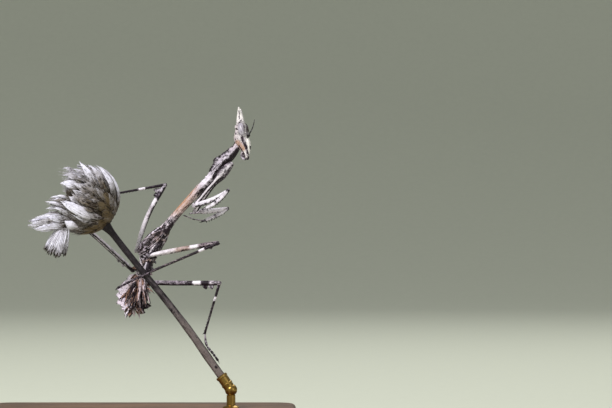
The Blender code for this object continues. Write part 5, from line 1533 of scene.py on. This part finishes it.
TUFTS = (   # from, to and count
    ((-13.1, -2.6, 39.0), (-18.4, -2.2, 38.4), 40), ((-13.4, -2.6, 37.6), (-15.2, -2.3, 33.6), 25),
    ((-12.6, -3.2, 41.6), (-15.8, -3.0, 41.6), 90), ((-9.5, -3.2, 46.4), (-13.6, -2.4, 47.3), 60))
for start, end, count in TUFTS:
    start = np.array(start) + chance.normal(size=(count, 3)) * (0.4, 0.4, 0.7)
    end = np.array(end) + chance.normal(size=(count, 3)) * (0.6, 0.4, 0.7)
    tufts.append(strands(start, end, chance.normal(size=(count, 3)) * 0.25, 0.05,
                         ((0, 0.3, 0.3, 0.5), (0.5, 0.0, 0.05, 0.9), (1, 0.25, 0.1, 0.7))))
make("seed_head_pappus", tufts, pappus_silk, sharp=180)

# %% [markdown]
# ## The stem
#
# The stem is a dead flower stalk: woody, finely ribbed along its length, nearly black with a purple
# cast below the seed head and browner towards its cut end. It swells under the head, where the
# bracts are attached.

# %% Stem
STEM = (   # place and radius
    (16.15, 0, 8.7, 0.72), (12.4, 0, 13.95, 0.71), (9.1, 0, 18.7, 0.67), (4.6, 0, 24.6, 0.61),
    (0.6, 0, 29.5, 0.59), (-3.1, 0.2, 34.1, 0.58), (-4.9, 0.32, 36.4, 0.62), (-5.9, 0.4, 37.55, 0.86),
    (-6.7, 0.5, 38.5, 1.25))


def stem_ribs(angle, share):
    """Nine fine ribs that wander a little, with shallow swellings."""
    ribs = 0.045 * np.cos(9 * angle + 2.2 * np.sin(7 * share))
    return 1 + ribs + 0.02 * np.cos(4 * angle + 3) + 0.02 * np.sin(40 * share)


stem_line = smooth([(*place, radius, radius) for *place, radius in STEM], 260)
stem = sweep(stem_line, (0, 1, 0), sides=54, profile=stem_ribs)
stem["points"] = stem["points"] + (grain(stem["points"], 0.5) * 0.02)[:, None] * np.array((0.6, -0.6, 0.5))
stem = bands(stem, ((0, 0.12, 0.4, 0.8), (0.35, 0.25, 0.3, 0.55), (0.55, 0.6, 0.1, 0.35),
                    (0.75, 0.85, 0.05, 0.3), (1, 0.95, 0.05, 0.3)))
# painted shade: both sides of the stem, as seen from the front, are darkened towards its edges
stem["dark"] = stem["dark"] + 0.65 * np.abs(np.sin(stem["angle"])) ** 5
stalk = [stem]
along, top, across = frame_of(stem_line, (0, 1, 0))
for share, turn in ((0.12, 200), (0.3, 20), (0.47, 150), (0.66, 320)):
    # scars where small leaves once grew
    index, turn = int(share * (len(stem_line) - 1)), math.radians(turn)
    out = top[index] * math.cos(turn) + across[index] * math.sin(turn)
    scar = egg(stem_line[index, :3] + out * stem_line[index, 3] * 0.94, (0.1, 0.26, 0.34),
               (out, np.cross(along[index], out), along[index]), 14, 10)
    stalk.append(plain(scar, 0.75, 0.3, 0.4))
make("seed_head_stalk", stalk, dry_stem, ["perch_stem"])

# %% [markdown]
# ## The display stand
#
# The stem stands in a small brass ferrule on a brass rod, over a walnut base with an eased top
# edge. Satin brass is a metal, so its colour is the colour of its reflections. Fine scratches run
# round turned parts. Walnut has long grain with pores, and an oil finish leaves it half dull.

# %% Satin brass
satin_brass, tree = new_material("satin_brass")
where = add(tree, "TexCoord").outputs["Object"]
cloud = add(tree, "TexNoise", {"Vector": where, "Scale": 1 / (6 * MM), "Detail": 3.0})
tone = add(tree, "ValToRGB", {"Fac": cloud.outputs["Fac"]}, stops=((0.35, "#97793F"), (0.65, "#AE9257")))
squeezed = add(tree, "Mapping", {"Vector": where, "Scale": (1.0, 1.0, 14.0)})
scratch = add(tree, "TexNoise", {"Vector": squeezed.outputs[0], "Scale": 1 / (0.8 * MM), "Detail": 4.0})
satin = add(tree, "Math", {0: scratch.outputs["Fac"], 1: 0.22, 2: 0.24}, **TIMES_PLUS)
bump = add(tree, "Bump", {"Height": scratch.outputs["Fac"], "Strength": 0.15, "Distance": 0.01 * MM})
shader = add(tree, "BsdfPrincipled", {"Base Color": tone.outputs[0], "Metallic": 1.0,
                                      "Roughness": satin.outputs[0], "Normal": bump.outputs[0]})
add(tree, "OutputMaterial", {"Surface": shader.outputs[0]})
brass = (satin_brass, "satin_brass")

# %% Oiled walnut
oiled_walnut, tree = new_material("oiled_walnut")
where = add(tree, "TexCoord").outputs["Object"]
long_way = add(tree, "Mapping", {"Vector": where, "Scale": (0.12, 1.0, 1.0)})
figure = add(tree, "TexNoise", {"Vector": long_way.outputs[0], "Scale": 1 / (3.2 * MM), "Detail": 5.0,
                                "Distortion": 0.6})
pores = add(tree, "TexNoise", {"Vector": long_way.outputs[0], "Scale": 1 / (0.35 * MM), "Detail": 2.0})
wood = add(tree, "ValToRGB", {"Fac": figure.outputs["Fac"]},
           stops=((0.34, "#3B2417"), (0.5, "#5F3D27"), (0.66, "#7C5438")))
pore = add(tree, "Math", {0: pores.outputs["Fac"], 1: 7.0, 2: -3.9}, use_clamp=True, **TIMES_PLUS)
grained = add(tree, "Mix", {0: pore.outputs[0], 6: wood.outputs[0], 7: "#2B190F"}, **COLOURS)
oil = add(tree, "Math", {0: pores.outputs["Fac"], 1: 0.3, 2: 0.27}, **TIMES_PLUS)
bump = add(tree, "Bump", {"Height": pore.outputs[0], "Strength": 0.25, "Distance": 0.05 * MM}, invert=True)
shader = add(tree, "BsdfPrincipled", {"Base Color": grained.outputs[2], "Roughness": oil.outputs[0],
                                      "IOR": 1.5, "Normal": bump.outputs[0]})
add(tree, "OutputMaterial", {"Surface": shader.outputs[0]})
walnut = (oiled_walnut, "oiled_walnut")

# %% Base
BASE_LONG, BASE_DEEP, BASE_CORNER = 56.0, 40.0, 4.0
BASE_TOP, BEVEL, EASED_EDGE = 5.0, 0.5, 0.9
corner = np.linspace(0, math.pi / 2, 9)
half_long, half_deep = BASE_LONG / 2 - BASE_CORNER, BASE_DEEP / 2 - BASE_CORNER
outline = [(sx * half_long, sy * half_deep, turn + quarter * math.pi / 2)
           for quarter, (sx, sy) in enumerate(((1, 1), (-1, 1), (-1, -1), (1, -1))) for turn in corner]
levels = [(BEVEL, 0.0), (0.0, BEVEL), (0.0, 3.7)]    # how far in from the outline, and how high
levels += [(EASED_EDGE * (1 - math.cos(turn)), BASE_TOP - EASED_EDGE + EASED_EDGE * math.sin(turn))
           for turn in np.linspace(0, math.pi / 2, 6)]
rings = np.array([[(x + (BASE_CORNER - inset) * math.cos(turn), y + (BASE_CORNER - inset) * math.sin(turn), z)
                   for x, y, turn in outline] for inset, z in levels])
grid = np.arange(len(levels) * len(outline)).reshape(len(levels), len(outline))
plinth = {"points": rings.reshape(-1, 3), "faces": [*walls(grid), grid[0, ::-1].tolist(), grid[-1].tolist()]}
make("walnut_base", [plinth], walnut, ["stand_base"], sharp=50)

# %% Rod and ferrule
ROD = ((5.0, 1.5), (5.25, 1.5), (5.45, 1.3), (5.6, 0.8), (7.4, 0.8))    # height and radius
SLEEVE = (   # distance along the stem and radius
    (0.2, 0.98), (1.0, 0.98), (1.1, 1.06), (1.35, 1.06), (1.45, 0.98), (2.6, 0.98), (2.7, 1.08),
    (3.05, 1.08), (3.15, 0.9), (3.17, 0.74))
hold = np.array((16.38, 0, 8.38))
lean = unit(np.array((9.1, 0, 18.7)) - np.array((15.8, 0, 9.2)))
rod = sweep([(hold[0], 0, z, radius, radius) for z, radius in ROD], (0, 1, 0), sides=40, caps=1)
ball = egg(hold, (1.12, 1.12, 1.12), (np.cross(lean, (0, 1, 0)), (0, 1, 0), lean), 40, 28)
sleeve = sweep([(*(hold + lean * at), radius, radius) for at, radius in SLEEVE], (0, 1, 0), sides=40, caps=1)
make("brass_rod", [rod], brass, ["stand_rod"], sharp=35)
make("brass_ferrule", [ball, sleeve], brass, ["stand_ferrule"], sharp=35)

# %% [markdown]
# ## Camera, light and floor
#
# The camera stands 0.61 m away at the height of the mantis, with a long 200 mm lens, as someone
# would photograph an insect without disturbing it. A pale round board that curves up at its rim is
# both floor and backdrop, so no horizon line crosses the picture from any side. Large soft lights
# keep the shadows gentle.

# %% Camera
CAMERA_RIGHT, CAMERA_AWAY, CAMERA_UP = 29.88, 612, 41.82    # in mm
camera = bpy.data.objects.new("camera", bpy.data.cameras.new("camera"))
camera.data.lens, camera.data.sensor_width = 200, 36
camera.location = (CAMERA_RIGHT * MM, -CAMERA_AWAY * MM, CAMERA_UP * MM)
camera.rotation_euler = (math.radians(90), 0, 0)
camera.data.clip_start, camera.data.clip_end = 0.01, 10
bpy.context.scene.collection.objects.link(camera)
bpy.context.scene.camera = camera

# %% Backdrop board: matt paper, so that it throws no reflection of the lights
matt_board, tree = new_material("matt_paper_board")
where = add(tree, "TexCoord").outputs["Object"]
fibre = add(tree, "TexNoise", {"Vector": where, "Scale": 1 / (2.5 * MM), "Detail": 2.0})
shade = add(tree, "ValToRGB", {"Fac": fibre.outputs["Fac"]}, stops=((0.3, "#C4C7B6"), (0.7, "#C6C9B8")))
shader = add(tree, "BsdfPrincipled", {"Base Color": shade.outputs[0], "Roughness": 0.9})
add(tree, "OutputMaterial", {"Surface": shader.outputs[0]})
BOWL, CURVE, TURNS = 0.75, 0.55, 96    # flat radius, radius of the curve up, corners round it
bend = [(reach, 0.0) for reach in np.linspace(0.1, BOWL, 8)]
bend += [(BOWL + CURVE * math.sin(turn), CURVE - CURVE * math.cos(turn))
         for turn in np.linspace(0.1, math.pi / 2, 14)]
round_about = np.linspace(0, 2 * math.pi, TURNS, endpoint=False)
points = [(reach * math.cos(turn), reach * math.sin(turn), z) for reach, z in bend for turn in round_about]
number = np.arange(len(points)).reshape(len(bend), TURNS)
board = bpy.data.meshes.new("backdrop")
board.from_pydata(points, [], [number[0].tolist(), *([a, d, c, b] for a, b, c, d in walls(number))])
board.shade_smooth()
board.materials.append(matt_board)
floor = bpy.data.objects.new("backdrop", board)
bpy.context.scene.collection.objects.link(floor)
# %% Soft lights
world = bpy.data.worlds.new("studio")
world.use_nodes = True
world.node_tree.nodes["Background"].inputs[0].default_value = linear("#E6EAEE")
world.node_tree.nodes["Background"].inputs[1].default_value = 0.3
bpy.context.scene.world = world
bpy.context.scene.view_settings.view_transform = "Standard"
LIGHTS = (   # name, place in metres, size in metres and watts
    ("key", (-0.3, -0.45, 0.54), 0.22, 5.6), ("fill", (0.55, -0.55, 0.2), 0.5, 0.9),
    ("back", (0.15, 0.35, 0.55), 0.4, 2.0))
LIT = (0.005, 0.0, 0.035)    # the place that every light aims at
for name, place, size, watts in LIGHTS:
    lamp = bpy.data.lights.new(name, "AREA")
    lamp.size, lamp.energy = size, watts
    light = bpy.data.objects.new(name, lamp)
    light.location = place
    light.rotation_euler = Vector(np.array(LIT) - np.array(place)).to_track_quat("-Z", "Y").to_euler()
    bpy.context.scene.collection.objects.link(light)
